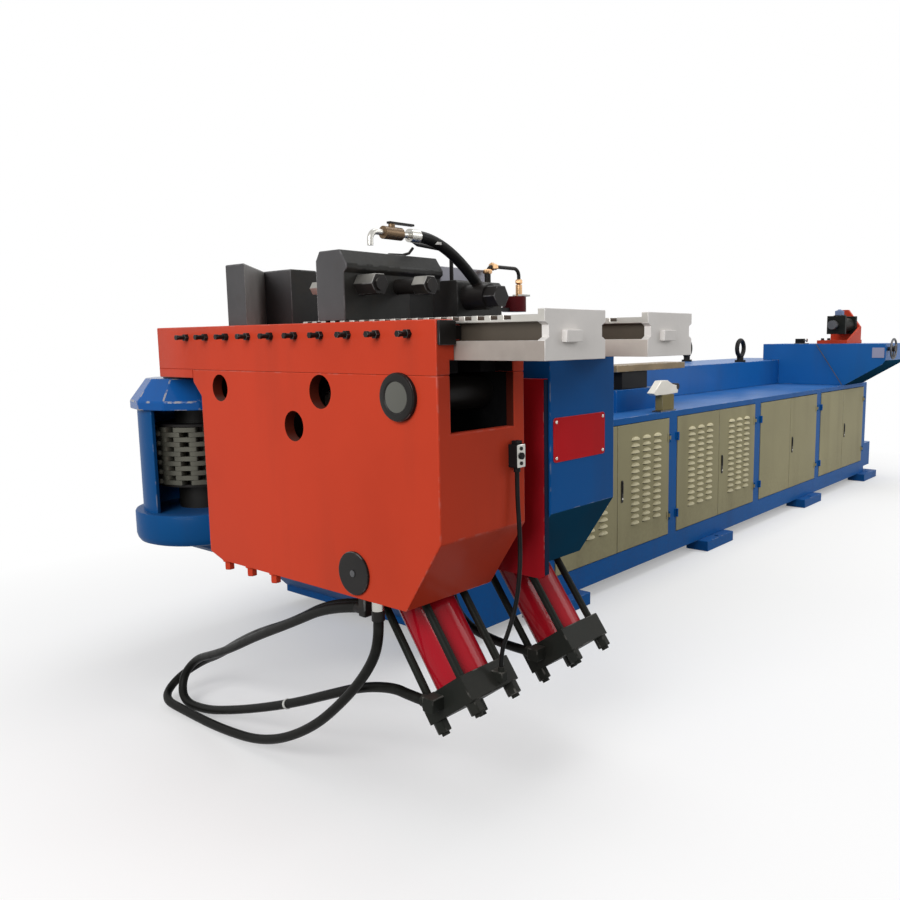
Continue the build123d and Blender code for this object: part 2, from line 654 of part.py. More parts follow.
def gib_screws():
    parts = []
    for k in range(GIB_N):
        y = GIB_Y0 - k * GIB_PITCH
        one = hex_x(y, GIB_Z, GIB_FLATS, ARM_X0 - GIB_NUT, ARM_X0)
        one += rod_x(y, GIB_Z, GIB_R, ARM_X0 - GIB_TIP, SLIDE_X0 + NECK_IN - 3)
        one += hex_x(y, GIB_Z, GIB_HEAD_FLATS, ARM_X0 - GIB_TIP, ARM_X0 - GIB_TIP + GIB_HEAD)
        parts.append(one)
    return Compound(children=parts)


def pins(shift, covers):
    """The tie shaft and the rocker pin across the box, and with covers the two front cover discs."""
    x0 = ARM_X0 + shift
    x1 = ARM_X1 + shift
    tie = rod_x(*PIN_U, U_R, x0, x1)
    rocker_pin = rod_x(*PIVOT, V_R, x0 + ARM_T / 2 + COVER_GAP, x1)
    if not covers:
        return Compound(children=[tie, rocker_pin])
    tie += rod_x(*PIN_U, 59, x0 - 12, x0)
    return Compound(children=[tie, rocker_pin, rod_x(*PIN_T, 58, x0 - 8, x0)])


def pressure_bracket():
    outline = [(ARM_END, GUIDE_Z0), (ARM_END, CHIN_Z), (HEEL_Y, ARM_Z0)]
    outline += [(HEAD_Y0, ARM_Z0), (HEAD_Y0, GUIDE_Z0)]
    part = arm_shell(outline, LINE_SHIFT, HEAD_Y0 - SHELL_T)
    part += rod_z(PRESSURE_HOSE_X, BRACKET_PORT_Y, HOSE_R, BRACKET_PORT_Z, ARM_Z0)
    return part + guide(LINE_SHIFT, HEAD_Y0 + 50)


def bracket_side_plate():
    y0 = ARM_END + 8
    y1 = HEAD_Y0 - 8
    z0 = ARM_Z0 + 5
    z1 = GUIDE_Z0 + 19
    x1 = ARM_X0 + LINE_SHIFT
    return prism_x([(y0, z1), (y0, CHIN_Z + 2), (HEEL_Y + 5, z0), (y1, z0), (y1, z1)], x1 - PLATE_T, x1)


def slide(shift):
    """Flange, neck, toothed plate and end plate of a slide, and the lug with its pin below."""
    x0 = SLIDE_X0 + shift
    x1 = SLIDE_X1 + shift
    xc = SLIDE_C + shift
    y0 = SLIDE_END + END_T
    part = box(x0, x1, y0, HEAD_Y, PLATE_Z0, SLIDE_TOP)
    teeth = []
    y = HEAD_Y - 20
    while y > SLIDE_END + 80:
        teeth.append(box(x0 - 1, x1 + 1, y - TOOTH_PITCH / 2, y, SLIDE_TOP - TOOTH_H, SLIDE_TOP + 1))
        y -= TOOTH_PITCH
    part -= teeth
    part += box(x0 + NECK_IN, x1 - NECK_IN, y0, HEAD_Y, FLANGE_Z, PLATE_Z0)
    part += box(x0, x1, y0, BODY_Y, BODY_Z0, FLANGE_Z)
    n = END_NOTCH
    top = SLIDE_TOP + END_RISE
    low = FLANGE_Z + n / 2
    high = PLATE_Z0 - n / 2
    face = [(x0, BODY_Z0), (x1, BODY_Z0), (x1, FLANGE_Z), (x1 - n, low), (x1 - n, high), (x1, PLATE_Z0)]
    face += [(x1, top), (x0, top), (x0, PLATE_Z0), (x0 + n, high), (x0 + n, low), (x0, FLANGE_Z)]
    part += prism_y(face, SLIDE_END, y0)
    part += box(x0 + BOSS_IN, x0 + BOSS_IN + BOSS_W, SLIDE_END - BOSS_OUT, SLIDE_END, BOSS_Z0, BOSS_Z1)
    part += box(xc - WEB_W / 2, xc + WEB_W / 2, WEB_Y0, WEB_Y1, WEB_Z0, BODY_Z0)
    half = LINK_T / 2
    part += box(xc - half, xc + half, PIN_S[0] - 36, PIN_S[0] + 36, PIN_S[1], WEB_Z0)
    part += rod_x(*PIN_S, 36, xc - half, xc + half)
    reach = half + FORK_GAP + FORK_T + 3
    part += rod_x(*PIN_S, K_R, xc - reach, xc + reach)
    return part


def from_pivot(length, deg):
    """A point at a length from the rocker pivot, the angle measured from +y in the y-z plane."""
    turn = math.radians(deg)
    return PIVOT[0] + length * math.cos(turn), PIVOT[1] + length * math.sin(turn)


def rocker(shift):
    """Twin-plate lever on its hub: a slot over the slide pin above, a slot over the rod pin at the side."""
    xc = SLIDE_C + shift
    near = LINK_T / 2 + FORK_GAP
    far = near + FORK_T
    half_turn = math.degrees(ROCK_HALF)
    part = rod_x(*PIVOT, ROCK_HUB, xc - far, xc + far)
    arms = [(90 + half_turn, ROCK_S), (180 - TILT + half_turn, ROCK_K)]
    for deg, length in arms:
        last = length / math.cos(ROCK_HALF)
        tip = last + K_R + ROCK_TIP
        for x0, x1 in [(xc - far, xc - near), (xc + near, xc + far)]:
            part += bar_x(PIVOT, from_pivot(last, deg), ROCK_BAR, x0, x1) & rod_x(*PIVOT, tip, x0, x1)
    for deg, length in arms:
        last = length / math.cos(ROCK_HALF)
        first = from_pivot(length - 2, deg)
        part -= bar_x(first, from_pivot(last + 2, deg), K_R + SLOT_ROOM, xc - far - 1, xc + far + 1)
    part -= rod_x(*PIVOT, V_R + RUN, xc - far - 1, xc + far + 1)
    return part


def on_axis(shift, part):
    """Put a part built along +Z about the trunnion onto the tilted cylinder axis."""
    return Location((SLIDE_C + shift, PIN_T[0], PIN_T[1]), (-TILT, 0, 0)) * part


def barrel(shift):
    tube_body = rod_z(0, 0, CYL_R, REAR_CAP0, -HEAD_CAP) - rod_z(0, 0, CYL_BORE, REAR_CAP0 - 1, 0)
    return on_axis(shift, tube_body)


def caps(shift):
    """Head cap with trunnions, rear cap, tie rods and nuts of one cylinder."""
    c = CYL_CAP / 2
    part = box(-c, c, -c, c, -HEAD_CAP, HEAD_CAP) + box(-c, c, -c, c, REAR_CAP1, REAR_CAP0)
    for sx in (-1, 1):
        for sy in (-1, 1):
            x = sx * CYL_PITCH / 2
            y = sy * CYL_PITCH / 2
            part += rod_z(x, y, TIE_R, REAR_CAP1 - NUT_L - 8, HEAD_CAP + 18)
            nut = RegularPolygon(18, 6, major_radius=False)
            part += extrude(Plane.XY.offset(REAR_CAP1 - NUT_L) * Pos(x, y) * nut, NUT_L)
    part += rod_x(0, 0, T_R, ARM_X0 + 0.5 - SLIDE_C, ARM_X1 - 0.5 - SLIDE_C)
    part -= rod_z(0, 0, ROD_R + RUN, -HEAD_CAP - 1, HEAD_CAP + 1)
    part = on_axis(shift, part)
    x = ELBOW_X + shift
    face_x = SLIDE_C + shift - CYL_CAP / 2
    e = ELBOW
    part += box(x - e, face_x + 2, PORT_Y - e, PORT_Y + e, PORT_Z - e, PORT_Z + e)
    return part + rod_y(x, PORT_Z, HOSE_R + 2, PORT_Y, HOSE_END_Y)


def clamp_caps():
    """The clamp cylinder's caps with the socket for the switch cable on the rear cap."""
    w = SOCKET
    plug = box(PLUG_X - w, PLUG_X + w, PLUG_Y - w, PLUG_Y + 28, PLUG_Z - 28, PLUG_Z)
    plug += rod_z(PLUG_X, PLUG_Y, CABLE_R + 3, PLUG_Z - 1, PLUG_Z + SOCKET)
    return caps(0) + plug


def rod(shift):
    """Piston, rod and flat eye with the pin that works in the rocker slot."""
    part = rod_z(0, 0, ROD_R, -325, KNEE_T - 95) + rod_z(0, 0, CYL_BORE - RUN, -355, -325)
    half = LINK_T / 2 - 0.5
    part += box(-half, half, -ROD_R, ROD_R, KNEE_T - 110, KNEE_T)
    part += rod_x(0, KNEE_T, 34, -half, half)
    reach = half + FORK_GAP + FORK_T + 3
    part += rod_x(0, KNEE_T, K_R, -reach, reach)
    return on_axis(shift, part)


def die_holes(xc):
    """Bolt holes for a die in the inner face of a seat."""
    left = rod_y(xc - DIE_HOLE_X / 2, DIE_HOLE_Z, DIE_HOLE_R, SEAT_Y1 - 40, SEAT_Y1 + 1)
    return left + rod_y(xc + DIE_HOLE_X / 2, DIE_HOLE_Z, DIE_HOLE_R, SEAT_Y1 - 40, SEAT_Y1 + 1)


def clamp_die_seat():
    """Seat with a lipped head, its head drawn out beyond the slide and cut back below."""
    edge = [(SEAT_Y0, SLIDE_TOP), (SEAT_Y1, SLIDE_TOP), (SEAT_Y1, 1465), (SEAT_Y1 - 16, SEAT_TOP)]
    edge += [(SEAT_Y0 + 14, SEAT_TOP), (SEAT_Y0 - 13, 1452), (SEAT_Y0 - 13, 1440), (SEAT_Y0, 1430)]
    part = prism_x(edge, SLIDE_X0, JAW_X1)
    part -= box(SLIDE_X1, JAW_X1 + 1, SEAT_Y0 - 1, SEAT_Y0 + JAW_IN, SLIDE_TOP - 1, JAW_Z)
    part -= die_holes(SLIDE_C)
    for x in (SCREW_A_X, SCREW_B_X):
        part -= rod_y(x, SCREW_Z, SCREW_R + RUN, SEAT_Y0 - 1, SEAT_Y1 + 1)
    return part


def pressure_die_seat():
    """Seat in two steps, low in front and higher at the die."""
    edge = [(SEAT_Y0, SLIDE_TOP), (SEAT_Y1, SLIDE_TOP), (SEAT_Y1, PRESS_BACK), (PRESS_STEP, PRESS_BACK)]
    edge += [(PRESS_STEP, PRESS_TOP), (SEAT_Y0 + 8, PRESS_TOP), (SEAT_Y0, PRESS_TOP - 8)]
    part = prism_x(edge, SLIDE_X0 + LINE_SHIFT, PRESS_X1)
    return part - die_holes(SLIDE_C + LINE_SHIFT)


def clamp_screw_a():
    y = SEAT_Y0 - COVER_GAP
    part = rod_y(SCREW_A_X, SCREW_Z, SCREW_R, y - 78, SEAT_Y1 + 46)
    return part + hex_y(SCREW_A_X, SCREW_Z, 52, y - 73, y)


def clamp_screw_b():
    y = SEAT_Y0 - COVER_GAP
    part = rod_y(SCREW_B_X, SCREW_Z, SCREW_R, y - 132, SEAT_Y1 + 10)
    part += rod_y(SCREW_B_X, SCREW_Z, 21, y - 78, y)
    return part + hex_y(SCREW_B_X, SCREW_Z, 48, y - 128, y - 78)


def lube_cartridge():
    part = rod_y(CARTRIDGE_X, CARTRIDGE_Z, CARTRIDGE_R, SEAT_Y0 - 88, SEAT_Y0)
    part += hex_y(CARTRIDGE_X, CARTRIDGE_Z, 60, SEAT_Y0 - 132, SEAT_Y0 - 88)
    a = Vector(*LUBE_HOSE[-2])
    b = Vector(*LUBE_HOSE[-1])
    port = Plane(origin=b, z_dir=b - a)
    return part + extrude(port * Circle(LUBE_HOSE_R), 28)


def bend_die_block():
    """Two upright bars in a V, on the arm beside the die."""
    plan = [(-897, 64), (-897, -34), (-682, 182), (-682, 42), (-580, 42), (-580, 262), (-699, 262)]
    part = prism_z(plan, ARM_TOP, BLOCK_TOP)
    return chamfer(part.edges().group_by(Axis.Z)[-1], 3)


def lube_line():
    """Nozzle, elbow, valve body and pipe, its holding rod, and the feed pipe with its small reservoir."""
    radius = 22.0
    points = [(NOZZLE_X, LUBE_Y, NOZZLE_Z), (NOZZLE_X, LUBE_Y, LUBE_Z), (PIPE_END_X, LUBE_Y, LUBE_Z)]
    part, path = tube(points, PIPE_R, radius)
    part += rod_x(LUBE_Y, LUBE_Z, 17, VALVE_X - 32, VALVE_X + 32)
    part += rod_z(VALVE_X, LUBE_Y, 9, LUBE_Z, LUBE_Z + 24)
    part += rod_x(LUBE_Y, LUBE_Z, LUBE_HOSE_R + 2, PIPE_END_X - 34, PIPE_END_X)
    seat_x = SLIDE_X0 + LINE_SHIFT
    hold_x = seat_x + 17
    hold = [(hold_x, -430, PRESS_TOP), (hold_x, -430, LUBE_Z - 17)]
    hold += [(-600, -450, LUBE_Z - 12), (-695, LUBE_Y, LUBE_Z - 5)]
    part += tube(hold, 6, 20)[0]
    y = FEED_Y
    part += rod_z(POT_X, y, POT_R, FEED_LOW, FEED_LOW + POT_H)
    part += box(PRESS_X1, POT_X, y - 12, y + 12, FEED_LOW, FEED_LOW + 12)
    feed = [(POST_X, y, PRESS_TOP), (POST_X, y, FEED_TOP), (DROP_X, y, FEED_TOP), (DROP_X, y, FEED_LOW + POT_H)]
    part += tube(feed, 6, 24)[0]
    part += rod_z(POST_X, y, 10, PRESS_TOP, PRESS_TOP + 30)
    part += rod_z(DROP_X, y, 11, FEED_LOW + POT_H, FEED_LOW + POT_H + 40)
    return part


def valve_lever():
    z = LUBE_Z + 24 + COVER_GAP
    return box(VALVE_X - 12, VALVE_X + 78, LUBE_Y - 7, LUBE_Y + 7, z, z + 6)


def arm_switch():
    half = SWITCH_W / 2
    part = box(SWITCH_X - half, SWITCH_X + half, ARM_END - SWITCH_OUT, ARM_END, SWITCH_Z, SWITCH_Z + SWITCH_H)
    return part + rod_z(SWITCH_X, CABLE_Y, CABLE_R + 3, SWITCH_Z - GLAND_L, SWITCH_Z)


def side_panels():
    parts = []
    for i in range(BAYS):
        x0, x1 = bay_edges(i)
        parts.append(box(x0 - 20, x1 + 20, BED_WIDTH, BED_WIDTH + 4, DOOR_Z0 - 20, DOOR_Z1 + 20))
    return Compound(children=parts)


def foot_pads():
    parts = []
    for x in PAD_X:
        for edge, out in [(0, -1), (BED_WIDTH, 1)]:
            y0 = edge + out * PAD_OUT
            y1 = edge - out * PAD_IN
            one = box(x - PAD_L / 2, x + PAD_L / 2, min(y0, y1), max(y0, y1), 0, PAD_H)
            parts.append(one - rod_z(x, edge + out * PAD_OUT / 2, ANCHOR_R, -1, PAD_H + 1))
    return Compound(children=parts)


def lifting_eyes():
    parts = []
    for x in EYE_X:
        for y in EYE_Y:
            ring = Pos(x, y, BEAM_Z1 + EYE_LIFT) * Rot(90, 0, 0) * Torus(EYE_R, EYE_WIRE)
            collar = rod_z(x, y, 42, BEAM_Z1, BEAM_Z1 + 16) + rod_z(x, y, 26, BEAM_Z1, BEAM_Z1 + 44)
            parts.append(ring + collar)
    return Compound(children=parts)


def door(i, right):
    """A folded door pan; right doors hang on the rear post of their bay."""
    x0, x1 = bay_edges(i)
    left = x1 - DOOR_GAP - DOOR_W if right else x0 + DOOR_GAP
    y0 = -DOOR_PROUD
    z0 = DOOR_Z0 + DOOR_GAP
    z1 = DOOR_Z1 - DOOR_GAP
    part = box(left, left + DOOR_W, y0, y0 + DOOR_T, z0, z1)
    t = DOOR_SKIN
    part -= box(left + t, left + DOOR_W - t, y0 + t, y0 + DOOR_T + 1, z0 + t, z1 - t)
    for z in hinge_heights():
        part += door_hinge(x1 if right else x0, -1 if right else 1, z)
    return part


def power_unit():
    """Oil tank on the bed floor, motor and pump on top of it."""
    z0 = PAD_H + WALL
    x1 = TANK_X0 + TANK_L
    y1 = TANK_Y0 + TANK_W
    t = TANK_T
    part = box(TANK_X0, x1, TANK_Y0, y1, z0, TANK_TOP)
    part -= box(TANK_X0 + t, x1 - t, TANK_Y0 + t, y1 - t, z0 + t, TANK_TOP - t)
    y = (TANK_Y0 + y1) / 2
    z = TANK_TOP + MOTOR_UP
    flange_x = TANK_X0 + 300 + MOTOR_L
    part += rod_x(y, z, MOTOR_R, TANK_X0 + 300, flange_x)
    part += rod_x(y, z, MOTOR_R + 20, flange_x, flange_x + 20)
    part += rod_x(y, z, MOTOR_R / 2 - 5, flange_x + 20, flange_x + 180)
    return part + box(TANK_X0 + 360, TANK_X0 + 700, y - 105, y + 105, TANK_TOP, TANK_TOP + 60)


def support_stand():
    z = DECK_Z + STAND_BLOCK_H
    top = z + STAND_POST_H
    post = box(STAND_POST_X, STAND_POST_X + STAND_POST_L, STAND_Y0 + 15, STAND_Y1 - 15, z, top)
    plate = box(STAND_X0 + 5, STAND_X0 + 5 + STAND_PLATE_L, STAND_Y0, STAND_Y1, top, top + STAND_PLATE_H)
    return Compound(children=[post, plate])


def rear_platform():
    t = PLAT_T
    part = box(PLAT_X0, PLAT_X1, PLAT_Y0, PLAT_Y1, BEAM_Z1, PLAT_Z1)
    part -= box(PLAT_X0 + t, PLAT_X1 - t, PLAT_Y0 + t, PLAT_Y1 - t, BEAM_Z1 - 1, PLAT_Z1 - t - 8)
    web = [(PLAT_Y0, BEAM_Z1), (PLAT_Y0 + 20, BEAM_Z1 - 30), (0, DECK_Z)]
    web += [(BEAM_Y0, DECK_Z), (BEAM_Y0, BEAM_Z1)]
    foot = prism_x(web, PLAT_X0, PLAT_X1)
    low = DECK_Z + t + 2
    core = [(PLAT_Y0 + 70, BEAM_Z1 + 1), (10, low), (BEAM_Y0 - t, low), (BEAM_Y0 - t, BEAM_Z1 + 1)]
    foot -= prism_x(core, PLAT_X0 + t, PLAT_X1 - t)
    part += foot
    part -= rod_y(WHEEL_X, WHEEL_Z, 16 + RUN, PLAT_Y0 - 1, PLAT_Y0 + 30)
    return part


def cross_slide():
    z = PLAT_Z1 + SLIDE_GAP
    low = CROSS_TOP - 145
    base_z = z + 28
    x1 = PLAT_X1 - 150
    part = box(PLAT_X0 + 20, PLAT_X1 - 90, CROSS_Y0, CROSS_Y1, z, base_z)
    back = [(CROSS_Y0, z), (CROSS_Y1, z), (CROSS_Y1, CROSS_TOP - 75), (CROSS_Y1 - 70, CROSS_TOP)]
    back += [(CROSS_Y0 + 104, CROSS_TOP), (CROSS_Y0, low)]
    part += prism_x(back, x1, x1 + 35)
    part += prism_y([(PLAT_X0 + 60, base_z), (x1, base_z), (x1, low)], CROSS_Y0, CROSS_Y0 + 16)
    part -= rod_x(MANDREL_Y, MANDREL_Z, 34, x1 - 50, x1 + 50)
    return part


def mandrel_cylinder():
    x1 = PLAT_X1 - 150
    part = rod_x(MANDREL_Y, MANDREL_Z, 62, PLAT_X0 + 70, x1 - 36)
    c = 74
    for x in (PLAT_X0 + 40, x1 - 36):
        part += box(x, x + 36, MANDREL_Y - c, MANDREL_Y + c, MANDREL_Z - c, MANDREL_Z + c)
    part -= rod_x(MANDREL_Y, MANDREL_Z, 50, PLAT_X0 + 76, x1 - 36)
    part -= rod_x(MANDREL_Y, MANDREL_Z, 26 + RUN, PLAT_X0, PLAT_X0 + 80)
    return part


def mandrel_rod():
    part = rod_x(MANDREL_Y, MANDREL_Z, 26, PLAT_X0 - 20, PLAT_X1 - 230)
    part += rod_x(MANDREL_Y, MANDREL_Z, 50 - RUN, PLAT_X1 - 230, PLAT_X1 - 200)
    return part + rod_x(MANDREL_Y, MANDREL_Z, 36, PLAT_X0 - 60, PLAT_X0 - 20)


def handwheel():
    part = Pos(WHEEL_X, WHEEL_Y, WHEEL_Z) * Rot(90, 0, 0) * Torus(WHEEL_R - 8, 8)
    part += rod_y(WHEEL_X, WHEEL_Z, 22, WHEEL_Y - 14, WHEEL_Y + 24)
    part += rod_y(WHEEL_X, WHEEL_Z, 16, WHEEL_Y, PLAT_Y0 + 28)
    for k in range(3):
        spoke = Pos(WHEEL_R / 2, 0, 0) * Rot(0, 90, 0) * Cylinder(7, WHEEL_R - 14)
        part += Pos(WHEEL_X, WHEEL_Y, WHEEL_Z) * Rot(0, 90 + 120 * k, 0) * spoke
    return part


def cord(name, points, r):
    radii = bend_radii(points)
    part, path = tube(points, r, radii)
    share = round(part.volume / (math.pi * r * r * path.length), 4)
    print(name, "smallest bend", round(min(radii), 1), "length", round(path.length), "volume share", share)
    return part


def main():
    os.makedirs("parts", exist_ok=True)
    p = LINE_SHIFT
    nodes = {
        "bed_frame": bed_frame(), "bed_beam": bed_beam(), "head_box": head_box(), "nose_drum": nose_drum(),
        "nose_cap": nose_cap(), "pressure_bracket": pressure_bracket(),
        "bracket_side_plate": bracket_side_plate(), "bracket_pins": pins(p, False),
        "side_panels": side_panels(), "foot_pads": foot_pads(),
        "lifting_eyes": lifting_eyes(), "rear_platform": rear_platform(), "bend_cylinders": bend_cylinders(),
        "power_unit": power_unit(), "support_stand": support_stand(),
        "swing_arm": swing_arm(), "clamp_guide": clamp_guide(), "spindle": spindle(), "sprocket": sprocket(),
        "chain": chain(), "gib_screws": gib_screws(), "pivot_pins": pins(0, True),
        "bend_die_block": bend_die_block(), "arm_switch": arm_switch(),
        "clamp_slide": slide(0), "clamp_die_seat": clamp_die_seat(), "clamp_screw_a": clamp_screw_a(),
        "clamp_screw_b": clamp_screw_b(), "clamp_rocker": rocker(0),
        "clamp_barrel": barrel(0), "clamp_caps": clamp_caps(), "clamp_rod": rod(0),
        "pressure_slide": slide(p), "pressure_die_seat": pressure_die_seat(), "lube_cartridge": lube_cartridge(),
        "lube_line": lube_line(), "valve_lever": valve_lever(),
        "pressure_rocker": rocker(p), "pressure_barrel": barrel(p),
        "pressure_caps": caps(p), "pressure_rod": rod(p),
        "cross_slide": cross_slide(), "mandrel_cylinder": mandrel_cylinder(), "mandrel_rod": mandrel_rod(),
        "handwheel": handwheel(),
        "bend_rod_pull": bend_rod(ROD_Y[0], HEAD_X + 5),
        "bend_rod_return": bend_rod(ROD_Y[1], HEAD_X + 5 + ROD_STROKE),
        "clamp_hose": cord("clamp_hose", CLAMP_HOSE, HOSE_R),
        "cap_hose": cord("cap_hose", CAP_HOSE, HOSE_R),
        "pressure_hose": cord("pressure_hose", PRESSURE_HOSE, HOSE_R),
        "switch_cable": cord("switch_cable", SWITCH_CABLE, CABLE_R),
        "lube_hose": cord("lube_hose", LUBE_HOSE, LUBE_HOSE_R),
    }
    for i in range(BAYS):
        nodes[f"door_{2 * i + 1}"] = door(i, False)
        nodes[f"door_{2 * i + 2}"] = door(i, True)
    for name, part in nodes.items():
        export_step(part.moved(Location(SHIFT)), f"parts/{name}.step")


if __name__ == "__main__":
    main()
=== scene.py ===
# %% [markdown]
# A hydraulic pipe bending machine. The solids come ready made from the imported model, each in its place,
# and this lesson dresses them: camera and hoses first, then the finishes, then the sheet metal and castings,
# and last the small things that make a machine look built and used.

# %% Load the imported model
import bpy
import bmesh
import json
import math
from mathutils import Matrix, Vector

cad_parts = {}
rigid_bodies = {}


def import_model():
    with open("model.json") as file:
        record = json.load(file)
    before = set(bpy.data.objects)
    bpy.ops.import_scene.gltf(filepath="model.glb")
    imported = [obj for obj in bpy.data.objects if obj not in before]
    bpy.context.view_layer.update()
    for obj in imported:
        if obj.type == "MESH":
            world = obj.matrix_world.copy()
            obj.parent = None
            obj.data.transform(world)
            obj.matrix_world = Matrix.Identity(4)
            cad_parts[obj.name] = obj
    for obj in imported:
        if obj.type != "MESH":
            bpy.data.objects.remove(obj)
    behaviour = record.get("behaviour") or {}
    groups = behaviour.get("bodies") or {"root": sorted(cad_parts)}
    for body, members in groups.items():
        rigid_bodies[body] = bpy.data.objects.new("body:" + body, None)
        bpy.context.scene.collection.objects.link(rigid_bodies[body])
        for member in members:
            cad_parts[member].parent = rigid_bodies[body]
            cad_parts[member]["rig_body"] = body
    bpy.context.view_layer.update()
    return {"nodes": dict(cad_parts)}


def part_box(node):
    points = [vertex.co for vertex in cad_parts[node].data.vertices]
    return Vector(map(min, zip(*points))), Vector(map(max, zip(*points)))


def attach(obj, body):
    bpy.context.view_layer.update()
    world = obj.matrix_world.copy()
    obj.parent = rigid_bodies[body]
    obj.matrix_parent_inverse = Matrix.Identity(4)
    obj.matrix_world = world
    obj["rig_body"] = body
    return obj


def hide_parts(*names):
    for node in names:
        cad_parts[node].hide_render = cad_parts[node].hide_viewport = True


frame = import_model()
scene = bpy.context.scene

# %% [markdown]
# A builder measures from the machine itself, not from the middle of its bounding box. So every place in
# this file is given in millimetres from the front end of the bed (x), the door side (y) and the floor (z).
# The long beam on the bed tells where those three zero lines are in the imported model.

# %% Machine measure
beam_low, beam_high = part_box("bed_beam")
BED_WIDTH = 1120.0
ZERO = Vector((beam_low.x, beam_high.y - BED_WIDTH / 1000, 0.0))
TO_SCENE = Matrix.Translation(ZERO) @ Matrix.Scale(0.001, 4)


def spot(x, y, z):
    return TO_SCENE @ Vector((x, y, z))


print("bed front, door side, floor at", tuple(round(v, 4) for v in ZERO))

# %% [markdown]
# The camera stands low at the bending head and looks along the bed. Its place and its lens were worked out
# from the three vanishing points of the bed's edges. The picture is a cut-out of a wider one, so the
# optical axis isn't in its middle; the small sideways shift of the lens says how far it lies off. PICTURE,
# FOCAL and OFF_AXIS count pixels of that picture.

# %% Camera
PICTURE, FOCAL, OFF_AXIS = 900, 831.2, -70
STAND = (-2319.5, -2208.0, 1251.4)
AZIMUTH, PITCH, ROLL = math.radians(51.09), math.radians(7.56), math.radians(-0.58)
ahead = Vector((math.sin(AZIMUTH) * math.cos(PITCH), math.cos(AZIMUTH) * math.cos(PITCH), -math.sin(PITCH)))
level = Vector((math.cos(AZIMUTH), -math.sin(AZIMUTH), 0.0))
upright = level.cross(ahead)
across = level * math.cos(ROLL) + upright * math.sin(ROLL)
upward = upright * math.cos(ROLL) - level * math.sin(ROLL)
lens = bpy.data.cameras.new("photo_view")
lens.sensor_width = 36.0
lens.lens = FOCAL / PICTURE * lens.sensor_width
lens.shift_x = OFF_AXIS / PICTURE
lens.clip_end = 60.0
camera = bpy.data.objects.new("photo_view", lens)
turn = Matrix((across, upward, -ahead)).transposed().to_4x4()
camera.matrix_world = Matrix.Translation(spot(*STAND)) @ turn
scene.collection.objects.link(camera)
scene.camera = camera
print("lens", round(lens.lens, 2), "mm, camera height", round(camera.matrix_world.translation.z, 3), "m")

# %% [markdown]
# Five flexible lines show on the machine: two oil hoses looped under the swing arm, one from the bracket to
# the second cylinder, the lubricant hose on the tooling and the thin cable of the arm's limit switch. Each
# has a route of points, and with it its radius, the body that it rides on, its length in metres, how stiff it
# is and how it lies.

# %% Routes
HOSE, LUBE, CABLE = 14.0, 16.0, 6.0
CLAMP_LOOP = [
    (-903, -530, 552), (-903, -400, 537), (-898, -190, 428), (-882, 10, 350), (-856, 190, 263),
    (-826, 350, 177), (-806, 500, 112), (-876, 554, 58), (-958.2, 500, 24), (-960, 360, 22),
    (-962, 130, 24), (-957, -110, 50), (-945, -320, 150), (-935, -480, 290), (-932, -575, 400),
    (-935, -613, 480), (-935, -613, 535)]
CAP_LINE = [
    (-935, -530, 552), (-935, -410, 530), (-928, -220, 440), (-915, -20, 352), (-897, 160, 264),
    (-878, 300, 206), (-862, 438.3, 154), (-891.3, 483, 88), (-920.5, 438.3, 20), (-918, 300, 24),
    (-914, 130, 70), (-908, -40, 125), (-902, -200, 184), (-897, -345, 246), (-892, -490, 306),
    (-888, -610, 334), (-886, -668.5, 328.3), (-886, -720.5, 328.3)]
BRACKET_LINE = [
    (-453, -405, 565), (-453, -405, 485), (-453, -430, 402), (-453, -490, 352), (-453, -580, 333.3),
    (-453, -658.5, 328.3), (-453, -720.5, 328.3)]
SWITCH_LINE = [
    (-681, -875, 915), (-681, -875, 850), (-684, -884, 765), (-690, -890, 672), (-705, -890, 580),
    (-727, -880, 505), (-745, -867.7, 452.9), (-745, -867.7, 409.9)]
LUBE_LINE = [(-659, -512, 1537), (-548, -512, 1537), (-425, -512, 1427)]
ROUTES = {
    "clamp_hose": (CLAMP_LOOP, HOSE, "arm", 2.67, "medium", "loose"),
    "cap_hose": (CAP_LINE, HOSE, "arm", 2.42, "medium", "loose"),
    "pressure_hose": (BRACKET_LINE, HOSE, "frame", 0.47, "medium", "hanging"),
    "switch_cable": (SWITCH_LINE, CABLE, "arm", 0.512, "medium", "hanging"),
    "lube_hose": (LUBE_LINE, LUBE, "pressure_carriage", 0.265, "stiff", "taut")}
print({node: len(route[0]) for node, route in ROUTES.items()}, "points")

# %% [markdown]
# A hose is one smooth line, so each is a NURBS curve with a round section. The curve cuts inside the corners
# of its route as a stiff hose does.

# %% Hoses and cable


def run_hose(node, points, radius, body):
    curve = bpy.data.curves.new(node + "_line", "CURVE")
    curve.dimensions = "3D"
    curve.bevel_depth = 1.0
    curve.bevel_resolution = 5
    curve.resolution_u = 12
    curve.use_fill_caps = True
    line = curve.splines.new("NURBS")
    line.points.add(len(points) - 1)
    for place, point in zip(points, line.points):
        point.co = (*spot(*place), 1.0)
        point.radius = radius / 1000
    line.order_u = 3
    line.use_endpoint_u = True
    hose = bpy.data.objects.new(node + "_line", curve)
    scene.collection.objects.link(hose)
    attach(hose, body)
    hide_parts(node)
    return hose


hoses = {}
for node, (points, radius, body, length, stiffness, lay) in ROUTES.items():
    hoses[node] = run_hose(node, points, radius, body)
    tuple(spot(*points[0]))
    2 * radius / 1000
print("hoses and cables", len(hoses))

# %% [markdown]
# Finishes come next. Shader maths reads best as plain sums, so one small class lets the output of a node be
# added and multiplied like a number. A second class holds a node tree while it is built: its `node` method
# is the only place where nodes are made and wired.

# %% Sums and wiring


